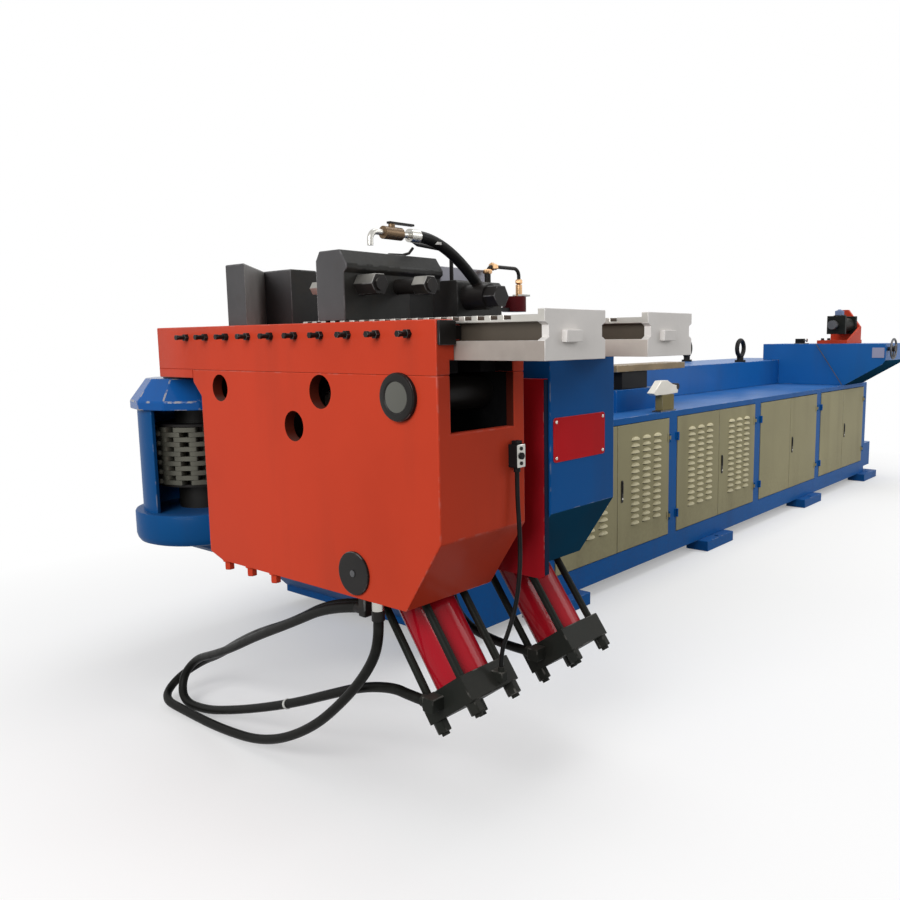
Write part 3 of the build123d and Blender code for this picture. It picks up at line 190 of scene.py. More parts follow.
class Signal:
    """The value on one output, so that sums on a surface can be written as sums."""

    def __init__(self, wiring, socket):
        self.wiring = wiring
        self.socket = socket

    def __add__(self, other):
        return self.wiring.maths("ADD", self, other)

    __radd__ = __add__

    def __sub__(self, other):
        return self.wiring.maths("SUBTRACT", self, other)

    def __rsub__(self, other):
        return self.wiring.maths("SUBTRACT", other, self)

    def __mul__(self, other):
        return self.wiring.maths("MULTIPLY", self, other)

    __rmul__ = __mul__


class Wiring:
    """A node tree; `node` makes a node, sets it and wires its inputs."""

    def __init__(self, tree):
        self.tree = tree

    def node(self, kind, settings, inputs, output=0):
        made = self.tree.nodes.new(kind)
        for key, value in settings.items():
            setattr(made, key, value)
        for key, value in inputs.items():
            self.join(made.inputs[key], value)
        return Signal(self, made.outputs[output])

    def join(self, socket, value):
        if isinstance(value, list):
            for one in value:
                self.tree.links.new(one.socket, socket)
        elif isinstance(value, Signal):
            self.tree.links.new(value.socket, socket)
        else:
            socket.default_value = value

    def maths(self, operation, first, second=0.0):
        return self.node("ShaderNodeMath", {"operation": operation}, {0: first, 1: second})

    def part(self, vector, axis):
        return self.node("ShaderNodeSeparateXYZ", {}, {0: vector}, axis)


print("sums and wiring ready")

# %% [markdown]
# A finish is a material around one Principled shader. What every finish needs has a short name here: a place
# on the piece, a noise, a band of values, a mix of two colours, a bump, and the edges marked for wear.
# Colours are picked in 0 to 255 and turned into the even scale that light is counted in.

# %% Tools for finishes
EVEN = (1, 1, 1)


class Finish(Wiring):
    """A material being built around one Principled shader."""

    def __init__(self, name, **constants):
        self.material = bpy.data.materials.new(name)
        self.material.use_nodes = True
        super().__init__(self.material.node_tree)
        self.tree.nodes.clear()
        self.output = self.tree.nodes.new("ShaderNodeOutputMaterial")
        self.shader = self.tree.nodes.new("ShaderNodeBsdfPrincipled")
        self.tree.links.new(self.shader.outputs[0], self.output.inputs["Surface"])
        for socket, value in constants.items():
            self.feed(socket.replace("_", " "), value)

    def feed(self, socket, value):
        self.join(self.shader.inputs[socket], value)

    def place(self, stretch=EVEN):
        here = self.node("ShaderNodeTexCoord", {}, {}, "Object")
        if stretch == EVEN:
            return here
        return self.node("ShaderNodeMapping", {}, {"Vector": here, "Scale": stretch})

    def noise(self, scale, detail=2.0, stretch=EVEN):
        inputs = {"Vector": self.place(stretch), "Scale": scale, "Detail": detail}
        return self.node("ShaderNodeTexNoise", {}, inputs)

    def band(self, signal, low, high):
        """0 below low, 1 above high, straight between."""
        inputs = {"Value": signal, "From Min": low, "From Max": high}
        return self.node("ShaderNodeMapRange", {"clamp": True}, inputs)

    def mix(self, amount, first, second):
        return self.node("ShaderNodeMix", {"data_type": "RGBA"}, {0: amount, 6: first, 7: second}, 2)

    def bump(self, height, depth):
        inputs = {"Height": height, "Strength": 1.0, "Distance": depth}
        self.feed("Normal", self.node("ShaderNodeBump", {}, inputs))

    def height(self):
        return self.part(self.place(), "Z")

    def facing_up(self):
        normal = self.node("ShaderNodeNewGeometry", {}, {}, "Normal")
        return self.band(self.part(normal, "Z"), 0.5, 1.0)

    def edges(self):
        return self.node("ShaderNodeAttribute", {"attribute_name": "edge_wear"}, {}, "Fac")


def colour(red, green, blue, gain=1.0):
    """A colour picked in 0 to 255, as the shader wants it."""
    def straight(c):
        c = c / 255
        return (c / 12.92 if c <= 0.04045 else ((c + 0.055) / 1.055) ** 2.4) * gain
    return (straight(red), straight(green), straight(blue), 1.0)


print("finish tools ready")

# %% [markdown]
# Most of the machine wears sprayed enamel. Up close such paint is never one colour: the coat is thicker in
# places, its skin has a fine orange peel, a little dust lies on the tops, oil and dirt darken the foot in
# streaks, and the rounded edges are rubbed. All of it is noise in the piece's own coordinates, so that it
# stays put from every side. The rubbed edges read an attribute that the rounding of the pieces leaves behind.

# %% Enamel
GRIME, DUST, BARE_EDGE = colour(62, 56, 50), colour(196, 190, 180), colour(176, 172, 166)


def enamel(name, rgb, gloss=0.34, peel=0.00022, rub=0.3, coat=0.03, shine=0.05):
    f = Finish(name, IOR=1.45, Specular_IOR_Level=shine, Coat_Roughness=0.06, Coat_IOR=1.5)
    broad = f.noise(1.7, 4.0)
    streak = f.noise(2.2, 5.0, (3.0, 3.0, 0.35))
    speck = f.noise(55.0, 3.0)
    tone = f.mix(f.band(broad, 0.3, 0.7), colour(*rgb, gain=0.90), colour(*rgb, gain=1.07))
    foot = f.band(f.height(), 0.45, 0.02)
    dirt = f.band(streak, 0.50, 0.78) * 0.16 + foot * f.band(speck, 0.35, 0.75) * 0.2
    tone = f.mix(dirt, tone, GRIME)
    dust = f.facing_up() * f.band(broad + speck * 0.2, 0.45, 1.0) * 0.14
    tone = f.mix(dust, tone, DUST)
    rubbed = f.edges() * f.band(f.noise(26.0, 4.0), 0.52, 0.62) * rub
    tone = f.mix(rubbed, tone, BARE_EDGE)
    f.feed("Base Color", tone)
    f.feed("Roughness", gloss + broad * 0.10 + dirt * 0.30 + rubbed * 0.2)
    f.feed("Coat Weight", coat - dirt * coat)
    f.bump(f.noise(190.0, 2.0) + speck * 0.6, peel)
    return f.material


BLUE = enamel("machine_blue", (16, 90, 160))
# The bed's blue is a lighter copy of the machine blue with more shine: painted light.
BED_BLUE_LIT = enamel("deck_blue", (22, 98, 168), gloss=0.30, shine=0.22)
# The nose drum, its skirt and its foot take a darker copy of the machine blue: painted shade.
NOSE_BLUE_SHADE = enamel("nose_blue", (16, 80, 138))
# A dull dark blue without reflection for slanted undersides: painted shade.
UNDERSIDE_SHADE_BLUE = enamel("underside_blue", (30, 80, 110), gloss=0.7, rub=0.0, coat=0.0, shine=0.0)
# The cap's edges are strongly rubbed and pale: partly worn paint, partly painted highlights.
CAP_BLUE = enamel("nose_cap_blue", (14, 88, 162), gloss=0.14, peel=0.0001, rub=0.8, coat=0.18)
SHADE_NAVY = enamel("shade_blue", (12, 34, 60), gloss=0.5, rub=0.0)
ORANGE = enamel("arm_orange_red", (198, 66, 42), rub=0.12)
# A dark brown red for the walls of the arm's holes and the far side of its window: painted shade.
HOLE_SHADE = enamel("hole_wall_brown_red", (84, 30, 20), gloss=0.6, rub=0.0, coat=0.0)
OLIVE = enamel("door_olive_grey", (160, 153, 120), gloss=0.42, rub=0.55)
# The louvre hoods are paler than the doors: painted light.
LOUVRE_LIT = enamel("louvre_olive_pale", (206, 198, 164), gloss=0.36)
CRIMSON = enamel("side_plate_crimson", (172, 30, 40), gloss=0.34)
BARREL_RED = enamel("cylinder_red", (170, 18, 34), gloss=0.18, peel=0.00008, rub=0.1, coat=0.2)
BLACK_PAINT = enamel("cap_black", (34, 36, 33), gloss=0.42, rub=0.2)
GREY_UNIT = enamel("unit_grey", (104, 112, 122), gloss=0.38)
PANE_GREY = enamel("sight_pane_grey", (98, 98, 92), gloss=0.12, rub=0.0, coat=0.2)
COIL_GREY = enamel("coil_blue_grey", (122, 138, 172), gloss=0.45)
PLATE_RED = enamel("plate_red", (206, 28, 36), gloss=0.36, rub=0.2)
POT_RED = enamel("reservoir_dark_red", (84, 22, 26), gloss=0.40)
PRIMER = enamel("primer_lilac_grey", (166, 166, 190), gloss=0.55, rub=0.1, coat=0.0)
SWITCH_OLIVE = enamel("switch_olive", (128, 118, 82), gloss=0.5, rub=0.2, coat=0.0)
print("materials so far", len(bpy.data.materials))

# %% [markdown]
# Bare metal is told apart by how it was worked. Ground slideways carry fine lines along the travel,
# blackened tool steel is dull and blotchy, plated screws are grey and even, hard chrome is a mirror with a
# film of oil. Long thin noise makes the lines; the metal's colour and roughness do the rest.

# %% Metals
ALONG_X, ALONG_Y, ALONG_Z = (0.25, 9, 9), (9, 0.25, 9), (9, 9, 0.25)
STAIN, BRIGHT_EDGE = colour(70, 62, 52), colour(190, 190, 190)


def worked_steel(name, rgb, rough, lines=EVEN, depth=0.00004, blotch=0.15, metal=1.0, rim=0.35, ior=1.5):
    f = Finish(name, Metallic=metal, IOR=ior)
    grain = f.noise(90.0, 3.0, lines)
    patch = f.noise(7.0, 5.0)
    tone = f.mix(f.band(patch, 0.3, 0.72), colour(*rgb, gain=1 - blotch), colour(*rgb, gain=1 + blotch))
    stain = f.band(f.noise(19.0, 4.0), 0.56, 0.80) * blotch
    tone = f.mix(stain, tone, STAIN)
    shine = f.edges() * f.band(f.noise(33.0, 3.0), 0.45, 0.60) * rim
    tone = f.mix(shine, tone, BRIGHT_EDGE)
    f.feed("Base Color", tone)
    f.feed("Roughness", rough + grain * 0.16 + stain * 0.3 - 0.08)
    f.bump(grain, depth)
    return f.material


SLIDE_TOP = worked_steel("rack_silver", (190, 187, 180), 0.36, ALONG_Y, metal=0.8)
# The tooth gaps of the rack are darker: painted shade.
RACK_GAP_SHADE = worked_steel("rack_gap_oiled", (84, 70, 58), 0.46, blotch=0.2, metal=0.4)
SLIDE_NECK = worked_steel("slide_oiled", (76, 68, 58), 0.46, ALONG_Y, metal=0.5, rim=0.1)
SLIDE_FLANGE = worked_steel("slide_ground", (160, 150, 142), 0.44, ALONG_Y, metal=0.3)
# The pressure slide's flange takes a lighter copy of the ground steel: painted light.
SLIDE_FLANGE_LIT = worked_steel("slide_ground_pale", (204, 195, 186), 0.44, ALONG_Y, metal=0.2)
SLIDE_WRAP = worked_steel("slide_end_frosted", (222, 218, 214), 0.58, depth=0.0003, blotch=0.06, metal=0.1)
SLIDE_KEY = worked_steel("slide_key_grey", (160, 158, 156), 0.55, depth=0.0002, blotch=0.1, metal=0.1)
# Lighter copies of the blackened tool steel for faces toward the front and for the notch: painted light.
LIT_TOOL_STEEL = {"lines": ALONG_Z, "blotch": 0.16, "metal": 0.2, "rim": 0.1, "ior": 1.3}
TOOL_BLACK = worked_steel("tool_blackened", (40, 40, 38), 0.55, depth=0.0001, blotch=0.25, metal=0.1,
                          rim=0.06, ior=1.3)
TOOL_LIT_END = worked_steel("tool_milled_end", (76, 75, 76), 0.52, **LIT_TOOL_STEEL)
# The notch of the die block takes a still lighter copy: painted light.
TOOL_LIT_NOTCH = worked_steel("tool_milled_notch", (112, 111, 108), 0.5, **LIT_TOOL_STEEL)
DIE_STEEL = worked_steel("die_grey", (126, 126, 134), 0.45, ALONG_X, blotch=0.12, metal=0.6)
DARK_STEEL = worked_steel("steel_oiled_dark", (86, 86, 88), 0.40, blotch=0.2, metal=0.8)
# The spindle inside the nose is near black: painted shade.
SPINDLE_SHADE = worked_steel("spindle_greased", (34, 33, 31), 0.50, blotch=0.3, metal=0.2, rim=0.1, ior=1.3)
SCREW_BLACK = worked_steel("screw_black_oxide", (30, 28, 27), 0.42, blotch=0.3, metal=0.1, rim=0.2, ior=1.25)
# Pale steel: a painted highlight on the upper flats of the screw heads, and the stop nut's own colour.
SCREW_PALE_AND_HIGHLIT = worked_steel("screw_worn_flat", (150, 148, 142), 0.34, blotch=0.25, metal=0.8)
SHOE_SILVER = worked_steel("switch_shoe_silver", (226, 222, 212), 0.40, depth=0.00001, blotch=0.08, metal=0.3)
PLATED = worked_steel("screw_plated", (186, 184, 178), 0.28, blotch=0.1)
CHAIN_STEEL = worked_steel("chain_greased", (78, 77, 68), 0.46, blotch=0.3, metal=0.5, rim=0.1)
CHROME = worked_steel("rod_chrome", (214, 214, 216), 0.14, depth=0.00001, blotch=0.04)
BRASS = worked_steel("fitting_brass", (196, 158, 118), 0.34, blotch=0.2)
VALVE_BRONZE = worked_steel("valve_bronze", (104, 84, 62), 0.38, blotch=0.25, metal=0.7)
BRONZE = worked_steel("plate_bronze", (126, 108, 78), 0.46, ALONG_X, blotch=0.2, metal=0.5)
print("materials so far", len(bpy.data.materials))

# %% [markdown]
# Hoses have a dull rubber skin with a cloth print in it, switch boxes are moulded plastic with a fine
# texture. Both are dark, nearly without colour, and live from the difference in roughness.

# %% Rubber and plastic


def rubber(name, rgb, rough, print_scale, depth):
    f = Finish(name, IOR=1.45, Specular_IOR_Level=0.1)
    weave = f.noise(print_scale, 2.0)
    rubbed = f.band(f.noise(24.0, 4.0), 0.52, 0.74)
    f.feed("Base Color", f.mix(rubbed * 0.5, colour(*rgb), colour(*(c + 20 for c in rgb))))
    f.feed("Roughness", rough + rubbed * 0.18)
    f.bump(weave, depth)
    return f.material


HOSE_RUBBER = rubber("hose_rubber", (20, 20, 18), 0.40, 420.0, 0.0003)
CABLE_SKIN = rubber("cable_skin", (20, 20, 20), 0.38, 300.0, 0.0001)
PLASTIC = rubber("switch_plastic", (24, 24, 25), 0.46, 700.0, 0.0001)
BAND_WHITE = rubber("tie_white", (205, 205, 200), 0.5, 300.0, 0.0001)
# Near black for hollows: painted shade inside the arm and the guide's mouth, and a painted shadow under each
# louvre.
SHADE_DARK = rubber("inside_dark", (20, 20, 21), 0.8, 40.0, 0.0002)
for node, hose in hoses.items():
    hose.data.materials.append(CABLE_SKIN if node == "switch_cable" else HOSE_RUBBER)
print("materials so far", len(bpy.data.materials))

# %% [markdown]
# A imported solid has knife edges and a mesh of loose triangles. To dress one, a copy is merged, its flat
# faces are joined again, and every outer edge with room for it gets a small rounded strip, because light on
# rounded edges is what makes steel plate look like plate. The strip's faces are marked for the rubbed paint.
# An edge has room if it and its neighbours are a few widths of the strip long.

# %% Rounding edges
SHARP = math.radians(33)
ROOM, ROOM_BESIDE = 2.5, 2.2


def roomy(edge, width, sharp):
    if len(edge.link_faces) != 2 or not edge.is_convex or edge.calc_face_angle(0.0) < sharp:
        return False
    if edge.calc_length() < ROOM * width:
        return False
    near = [e for v in edge.verts for e in v.link_edges]
    return min(e.calc_length() for e in near) > ROOM_BESIDE * width


def soften(bm, mark, edges, width, sharp):
    """Round the edges, mark the strips for wear and say where shading breaks."""
    strips = set()
    if edges:
        made = bmesh.ops.bevel(bm, geom=edges, offset=width, offset_type="OFFSET", segments=2, profile=0.5,
                               affect="EDGES", clamp_overlap=False)
        strips = set(made["faces"])
    for edge in bm.edges:
        sides = [f in strips for f in edge.link_faces]
        edge.smooth = len(sides) == 2 and sides[0] == sides[1] and edge.calc_face_angle(0.0) < sharp
    for face in bm.faces:
        face.smooth = True
        for loop in face.loops:
            loop[mark] = 1.0 if face in strips else 0.0


print("edges are rounded above", round(math.degrees(SHARP)), "degrees")

# %% [markdown]
# A dressed copy stands for its solid and rides on the same body. One solid often shows several finishes, such
# as a ground face on a painted block. So the copy takes regions: a test looks at each face's middle, in
# machine millimetres, and at its normal, and says whether the face belongs to the region. Most regions are
# plain boxes.

# %% Dressing a solid
TO_MACHINE = TO_SCENE.inverted()
MERGE, FLAT = 2e-6, math.radians(0.5)
LOW, HIGH = -math.inf, math.inf
pieces = []


def within(x=(LOW, HIGH), y=(LOW, HIGH), z=(LOW, HIGH)):
    """A test for faces whose middle lies in a box."""
    return lambda m, n: x[0] < m.x < x[1] and y[0] < m.y < y[1] and z[0] < m.z < z[1]


def settle(name, mesh, finishes, body, slot, stands_for=()):
    """Put a finished mesh into the scene on its body."""
    for finish in finishes:
        mesh.materials.append(finish)
    piece = bpy.data.objects.new(name, mesh)
    scene.collection.objects.link(piece)
    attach(piece, body)
    if stands_for:
        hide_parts(*stands_for)
    pieces.append(name)
    return piece


def dress(node, finish, slot, round_by=2.0, regions=(), sharp=SHARP):
    """A finished copy of a node, with regions given as (finish, test) pairs."""
    bm = bmesh.new()
    bm.from_mesh(frame["nodes"][node].data)
    mark = bm.loops.layers.float.new("edge_wear")
    bmesh.ops.remove_doubles(bm, verts=bm.verts, dist=MERGE)
    bmesh.ops.dissolve_limit(bm, angle_limit=FLAT, verts=bm.verts, edges=bm.edges)
    width = round_by / 1000
    edges = [e for e in bm.edges if round_by and roomy(e, width, sharp)]
    soften(bm, mark, edges, width, sharp)
    for face in bm.faces:
        face.material_index = 0
        middle = TO_MACHINE @ face.calc_center_median()
        for number, (_, test) in enumerate(regions, start=1):
            if test(middle, face.normal):
                face.material_index = number
    mesh = bpy.data.meshes.new(node + "_dressed")
    bm.to_mesh(mesh)
    bm.free()
    finishes = [finish] + [r[0] for r in regions]
    return settle(node + "_dressed", mesh, finishes, frame["nodes"][node]["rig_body"], slot, (node,))


def paint_solid(node, finish):
    """A solid that is right as it is keeps its mesh and only takes a finish."""
    mesh = frame["nodes"][node].data
    mesh.materials.clear()
    mesh.materials.append(finish)


print("dressing tools ready")

# %% [markdown]
# The bed is a welded blue box with a beam along its far half. The beam, the side panels, the far platform and
# the top of the bed take a lighter, glossier copy of the blue, which is painted light. The bed's doors are a
# drab olive grey and hang on small hinges in the same blue. The bending head ahead of the bed, the nose drum
# with its twelve-sided cap and the fixed bracket are blue as well. The drum takes a darker copy of the blue,
# which is painted shade, and the slanted undersides take painted shade in a dull dark blue. The cap's facets
# meet at a small angle, so it gets a finer limit for what counts as an edge; its rubbed edges are pale,
# partly worn paint and partly painted highlights.

# %% Bed, head, nose and bracket
CAP_SHARP = math.radians(15)
FIRST_BAY, BAY_PITCH = 663.0, 1150.0
DOOR_WIDTH, DOOR_GAP, DOOR_FACE = 524.0, 4.0, -3.0
DOOR_LEFT = {}
for bay in range(4):
    DOOR_LEFT[2 * bay + 1] = FIRST_BAY + bay * BAY_PITCH
    DOOR_LEFT[2 * bay + 2] = FIRST_BAY + bay * BAY_PITCH + DOOR_WIDTH + DOOR_GAP


# Slanted faces that look down toward the door side take painted shade.
def underside(m, n):
    return n.y < -0.4 and n.z < -0.4


# The tops of the bed frame take the lighter blue: painted light.
def deck(m, n):
    return n.z > 0.7


dress("bed_frame", BLUE, "blue_paint", 3, [(BED_BLUE_LIT, deck)])
for node, finish, round_by in [
        ("bed_beam", BED_BLUE_LIT, 5), ("head_box", BLUE, 5), ("nose_drum", NOSE_BLUE_SHADE, 3),
        ("side_panels", BED_BLUE_LIT, 1), ("foot_pads", BLUE, 3), ("pressure_bracket", BLUE, 3),
        ("rear_platform", BED_BLUE_LIT, 4)]:
    dress(node, finish, "blue_paint", round_by, [(UNDERSIDE_SHADE_BLUE, underside)])
dress("nose_cap", CAP_BLUE, "blue_paint", 4, sharp=CAP_SHARP)
for number, left in DOOR_LEFT.items():
    dress(f"door_{number}", OLIVE, "olive_steel", 1.5, [
        (BLUE, lambda m, n: not left - 1 < m.x < left + DOOR_WIDTH + 1)])
dress("lifting_eyes", SCREW_BLACK, "dark_steel", 0)
dress("support_stand", PLASTIC, "bronze_plate", 3, [(BRONZE, within(z=(1071, HIGH)))])
for node, finish in [("bracket_pins", DARK_STEEL), ("bend_cylinders", GREY_UNIT), ("power_unit", GREY_UNIT),
                     ("pressure_rocker", DARK_STEEL), ("clamp_rocker", DARK_STEEL), ("sprocket", SCREW_BLACK),
                     ("bend_rod_pull", CHROME), ("bend_rod_return", CHROME), ("spindle", SPINDLE_SHADE)]:
    paint_solid(node, finish)
print("pieces dressed", len(pieces))

# %% [markdown]
# The swing arm is the machine's face: a thick orange-red box with three round holes, a black-rimmed cover
# near its end and a dark window under the slide. The guide on top of it is a separate block; the line
# between the two shows on the real arm too. Where the guide holds the slide, its strips are bare dark steel.
# What lies inside the box is only ever seen through a hole, so its inner faces and the guide's mouth take
# painted shade; the walls of the holes and the far side of the window take a dark brown red that is painted
# shade too.

# %% Swing arm
ARM_HOLES = [(43, 1118, 40), (-430, 1121, 45), (-311, 1024, 42)]
gib_strip = within(x=(-891, -653), y=(LOW, 100), z=(1204, 1300.5))
arm_hollow = within(x=(-921, -659), y=(-845, 130), z=(600, 1172))
guide_mouth = within(x=(-907, -673), y=(-858, 0), z=(1165, 1206))
manifold = within(x=(-949.5, -880), y=(-578, -529), z=(LOW, 584.5))
ferrule = within(x=(LOW, -910), y=(-632, -595), z=(LOW, 584.5))
window = within(x=(-700, HIGH), y=(LOW, -832), z=(1030, 1173))


def on_gib(m, n):
    return gib_strip(m, n) and n.y > -0.9


def inside_arm(m, n):
    return arm_hollow(m, n) and not (n.y < -0.5 and n.z < -0.5)


# The walls of the holes and the far side of the window take painted shade.
def cut_wall(m, n):
    if abs(n.x) > 0.5:
        return n.x < -0.7 and window(m, n)
    return m.x > -949 and any(math.hypot(m.y - y, m.z - z) < r + 2 for y, z, r in ARM_HOLES)


# Faces toward the front take the lighter copy: painted light.
def painted_light_end(m, n):
    return n.x < -0.2


die_low, die_high = (TO_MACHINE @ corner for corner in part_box("bend_die_block"))


# Faces in and beside the notch take the lighter copy: painted light.
def painted_light_notch(m, n):
    return n.y < -0.2 and m.x < 0.5 * (die_low.x + die_high.x)


dress("swing_arm", ORANGE, "orange_red_paint", 4, [
    (SHADE_DARK, inside_arm), (HOLE_SHADE, cut_wall), (SCREW_BLACK, manifold), (PLATED, ferrule)])
dress("clamp_guide", ORANGE, "orange_red_paint", 3, [(SCREW_BLACK, on_gib), (SHADE_DARK, guide_mouth)])
dress("gib_screws", SCREW_BLACK, "dark_steel", 0.8)
dress("pivot_pins", SCREW_BLACK, "dark_steel", 2)
dress("arm_switch", PLASTIC, "black_plastic", 2, [(PLATED, lambda m, n: m.y < -889 and n.y < -0.9)])
dress("bend_die_block", TOOL_BLACK, "black_tool", 2, [(TOOL_LIT_END, painted_light_end), (TOOL_LIT_NOTCH, painted_light_notch)])
print("pieces dressed", len(pieces))

# %% [markdown]
# Each slide is a T-shaped bar. Its toothed top plate is bright, with painted shade in the tooth gaps, the
# neck under it dark with oil, the flange below ground pale, and the outer end dull and frosted, with a grey
# key; the pressure slide's flange is a lighter copy, which is painted light. One solid, six finishes: the
# face's height and place along the bar decide which. The lubricant line is one solid too, of plated pipe, a
# bronze valve, black tube, brass fittings and a small dark red pot.

# %% Slides, die seats and screws
rack = within(z=(1289, HIGH))
tooth_gaps = within(y=(-1100, HIGH), z=(1294, 1305.5))
flange = within(z=(LOW, 1251))
slide_end = within(y=(LOW, -1105))
end_key = within(y=(LOW, -1141))
HEAD_LENGTH = 78


# The bottoms and sides of the tooth gaps take painted shade.
def rack_gap(m, n):
    return tooth_gaps(m, n) and (n.z > 0.9 or abs(n.y) > 0.9)


def feed_tube(m, n):
    return m.x > -700 and (m.y > -490 or m.z < 1512)


# The pressure slide's flange takes the lighter copy: painted light.
for node, ground in [("clamp_slide", SLIDE_FLANGE), ("pressure_slide", SLIDE_FLANGE_LIT)]:
    dress(node, SLIDE_NECK, "ground_steel", 1.5, [
        (SLIDE_TOP, rack), (RACK_GAP_SHADE, rack_gap), (ground, flange), (SLIDE_WRAP, slide_end),
        (SLIDE_KEY, end_key)])
dress("clamp_die_seat", TOOL_BLACK, "black_tool", 3, [(TOOL_LIT_END, painted_light_end)])
dress("pressure_die_seat", TOOL_BLACK, "black_tool", 3, [(DIE_STEEL, within(y=(-401, HIGH), z=(1433, HIGH)))])
for node in ("clamp_screw_a", "clamp_screw_b"):
    head_end = (TO_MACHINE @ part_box(node)[0]).y + HEAD_LENGTH
    # The upper flats of the screw heads take a painted highlight.
    dress(node, SCREW_BLACK, "zinc_steel", 1.5, [
        (SCREW_PALE_AND_HIGHLIT, lambda m, n: m.y < head_end and n.z > 0.3 and n.x < 0.2)])
dress("lube_cartridge", SCREW_BLACK, "dark_steel", 2)
dress("lube_line", PLATED, "brass_fitting", 0, [
    (VALVE_BRONZE, within(x=(-788, -722), z=(1510, HIGH))), (SCREW_BLACK, feed_tube),
    (POT_RED, within(x=(-176, -92), z=(LOW, 1394.5))), (BRASS, within(x=(-120, -96), z=(1394.5, 1436)))])
dress("valve_lever", SCREW_BLACK, "orange_red_paint", 1)
print("pieces dressed", len(pieces))

# %% [markdown]
# Under the arm and the bracket hang two tie-rod cylinders: a red honed tube between two square black caps,
# held by four rods with nuts.

# %% Cylinders
for tag in ("clamp", "pressure"):
    dress(f"{tag}_barrel", BARREL_RED, "red_barrel", 0)
    dress(f"{tag}_caps", BLACK_PAINT, "black_caps", 3)
    paint_solid(f"{tag}_rod", CHROME)
print("pieces dressed", len(pieces))

# %% [markdown]
# At the far end a small orange carriage carries the mandrel cylinder across a platform, moved by a handwheel
# of oiled steel with a black hub.

# %% Mandrel unit
dress("cross_slide", ORANGE, "orange_red_paint", 2)
dress("mandrel_cylinder", BLACK_PAINT, "grey_unit", 3)
dress("mandrel_rod", DARK_STEEL, "chrome_rod", 0)
wheel_low, wheel_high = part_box("handwheel")
hub = TO_MACHINE @ ((wheel_low + wheel_high) / 2)
HUB_RADIUS = 24
dress("handwheel", DARK_STEEL, "chrome_rod", 0, [
    (SCREW_BLACK, lambda m, n: math.hypot(m.x - hub.x, m.z - hub.z) < HUB_RADIUS)])
print("pieces dressed", len(pieces))

# %% [markdown]
# What repeats is grown with Geometry Nodes: louvres, chain links, bolts. A recipe is a node tree with named
# sizes, built by the same `node` method as the finishes.

# %% Recipes
STILL = (0.0, 0.0, 0.0)


class Recipe(Wiring):
    """A Geometry Nodes tree with named sizes."""

    def __init__(self, name, **sizes):
        super().__init__(bpy.data.node_groups.new(name, "GeometryNodeTree"))
        kinds = {int: "NodeSocketInt", float: "NodeSocketFloat", tuple: "NodeSocketVector"}
        self.keys = {}
        for size, value in sizes.items():
            socket = self.tree.interface.new_socket(size, in_out="INPUT", socket_type=kinds[type(value)])
            socket.default_value = value
            self.keys[size] = socket.identifier
        self.tree.interface.new_socket("Geometry", in_out="OUTPUT", socket_type="NodeSocketGeometry")
        self.given = self.tree.nodes.new("NodeGroupInput")
        self.out = self.tree.nodes.new("NodeGroupOutput")

    def size(self, name):
        return Signal(self, self.given.outputs[name])

    def vector(self, x=0.0, y=0.0, z=0.0):
        return self.node("ShaderNodeCombineXYZ", {}, {"X": x, "Y": y, "Z": z})

    def moved(self, shape, by=STILL, turn=STILL, scale=EVEN):
        inputs = {"Geometry": shape, "Translation": by, "Rotation": turn, "Scale": scale}
        return self.node("GeometryNodeTransform", {}, inputs)

    def stub(self, sides, radius, depth, top=None):
        """A round or many-sided stub standing on its foot; with a smaller top it tapers."""
        top = radius if top is None else top
        return self.node("GeometryNodeMeshCone", {}, {
            "Vertices": sides, "Radius Bottom": radius, "Radius Top": top, "Depth": depth})

    def row(self, count, first=STILL, step=STILL):
        return self.node("GeometryNodeMeshLine", {"mode": "OFFSET"}, {0: count, 2: first, 3: step})

    def on(self, points, shape, turn=STILL):
        turned = self.node("FunctionNodeEulerToRotation", {}, {0: turn})
        inputs = {"Points": points, "Instance": shape, "Rotation": turned}
        return self.node("GeometryNodeInstanceOnPoints", {}, inputs)

    def join_all(self, *shapes):
        return self.node("GeometryNodeJoinGeometry", {}, {0: list(shapes)})

    def end(self, shape, finish, marked=None):
        """Real geometry with its finish; faces marked by the attribute take the second one."""
        shape = self.node("GeometryNodeRealizeInstances", {}, {0: shape})
        shape = self.node("GeometryNodeSetMaterial", {}, {"Geometry": shape, "Material": finish})
        if marked:
            flag = self.node("GeometryNodeInputNamedAttribute", {"data_type": "BOOLEAN"}, {"Name": "marked"})
            inputs = {"Geometry": shape, "Selection": flag, "Material": marked}
            shape = self.node("GeometryNodeSetMaterial", {}, inputs)
        self.join(self.out.inputs[0], shape)


print("recipes can be written")

# %% [markdown]
# A recipe runs through a modifier, once for each body, with the sizes set before it is first looked at. What
# comes out is kept as a plain mesh and the modifier goes: a finished piece is ordinary geometry, with its
# doubled points merged and its faces turned outwards.

# %% Growing a recipe
DOUBLED = 0.01


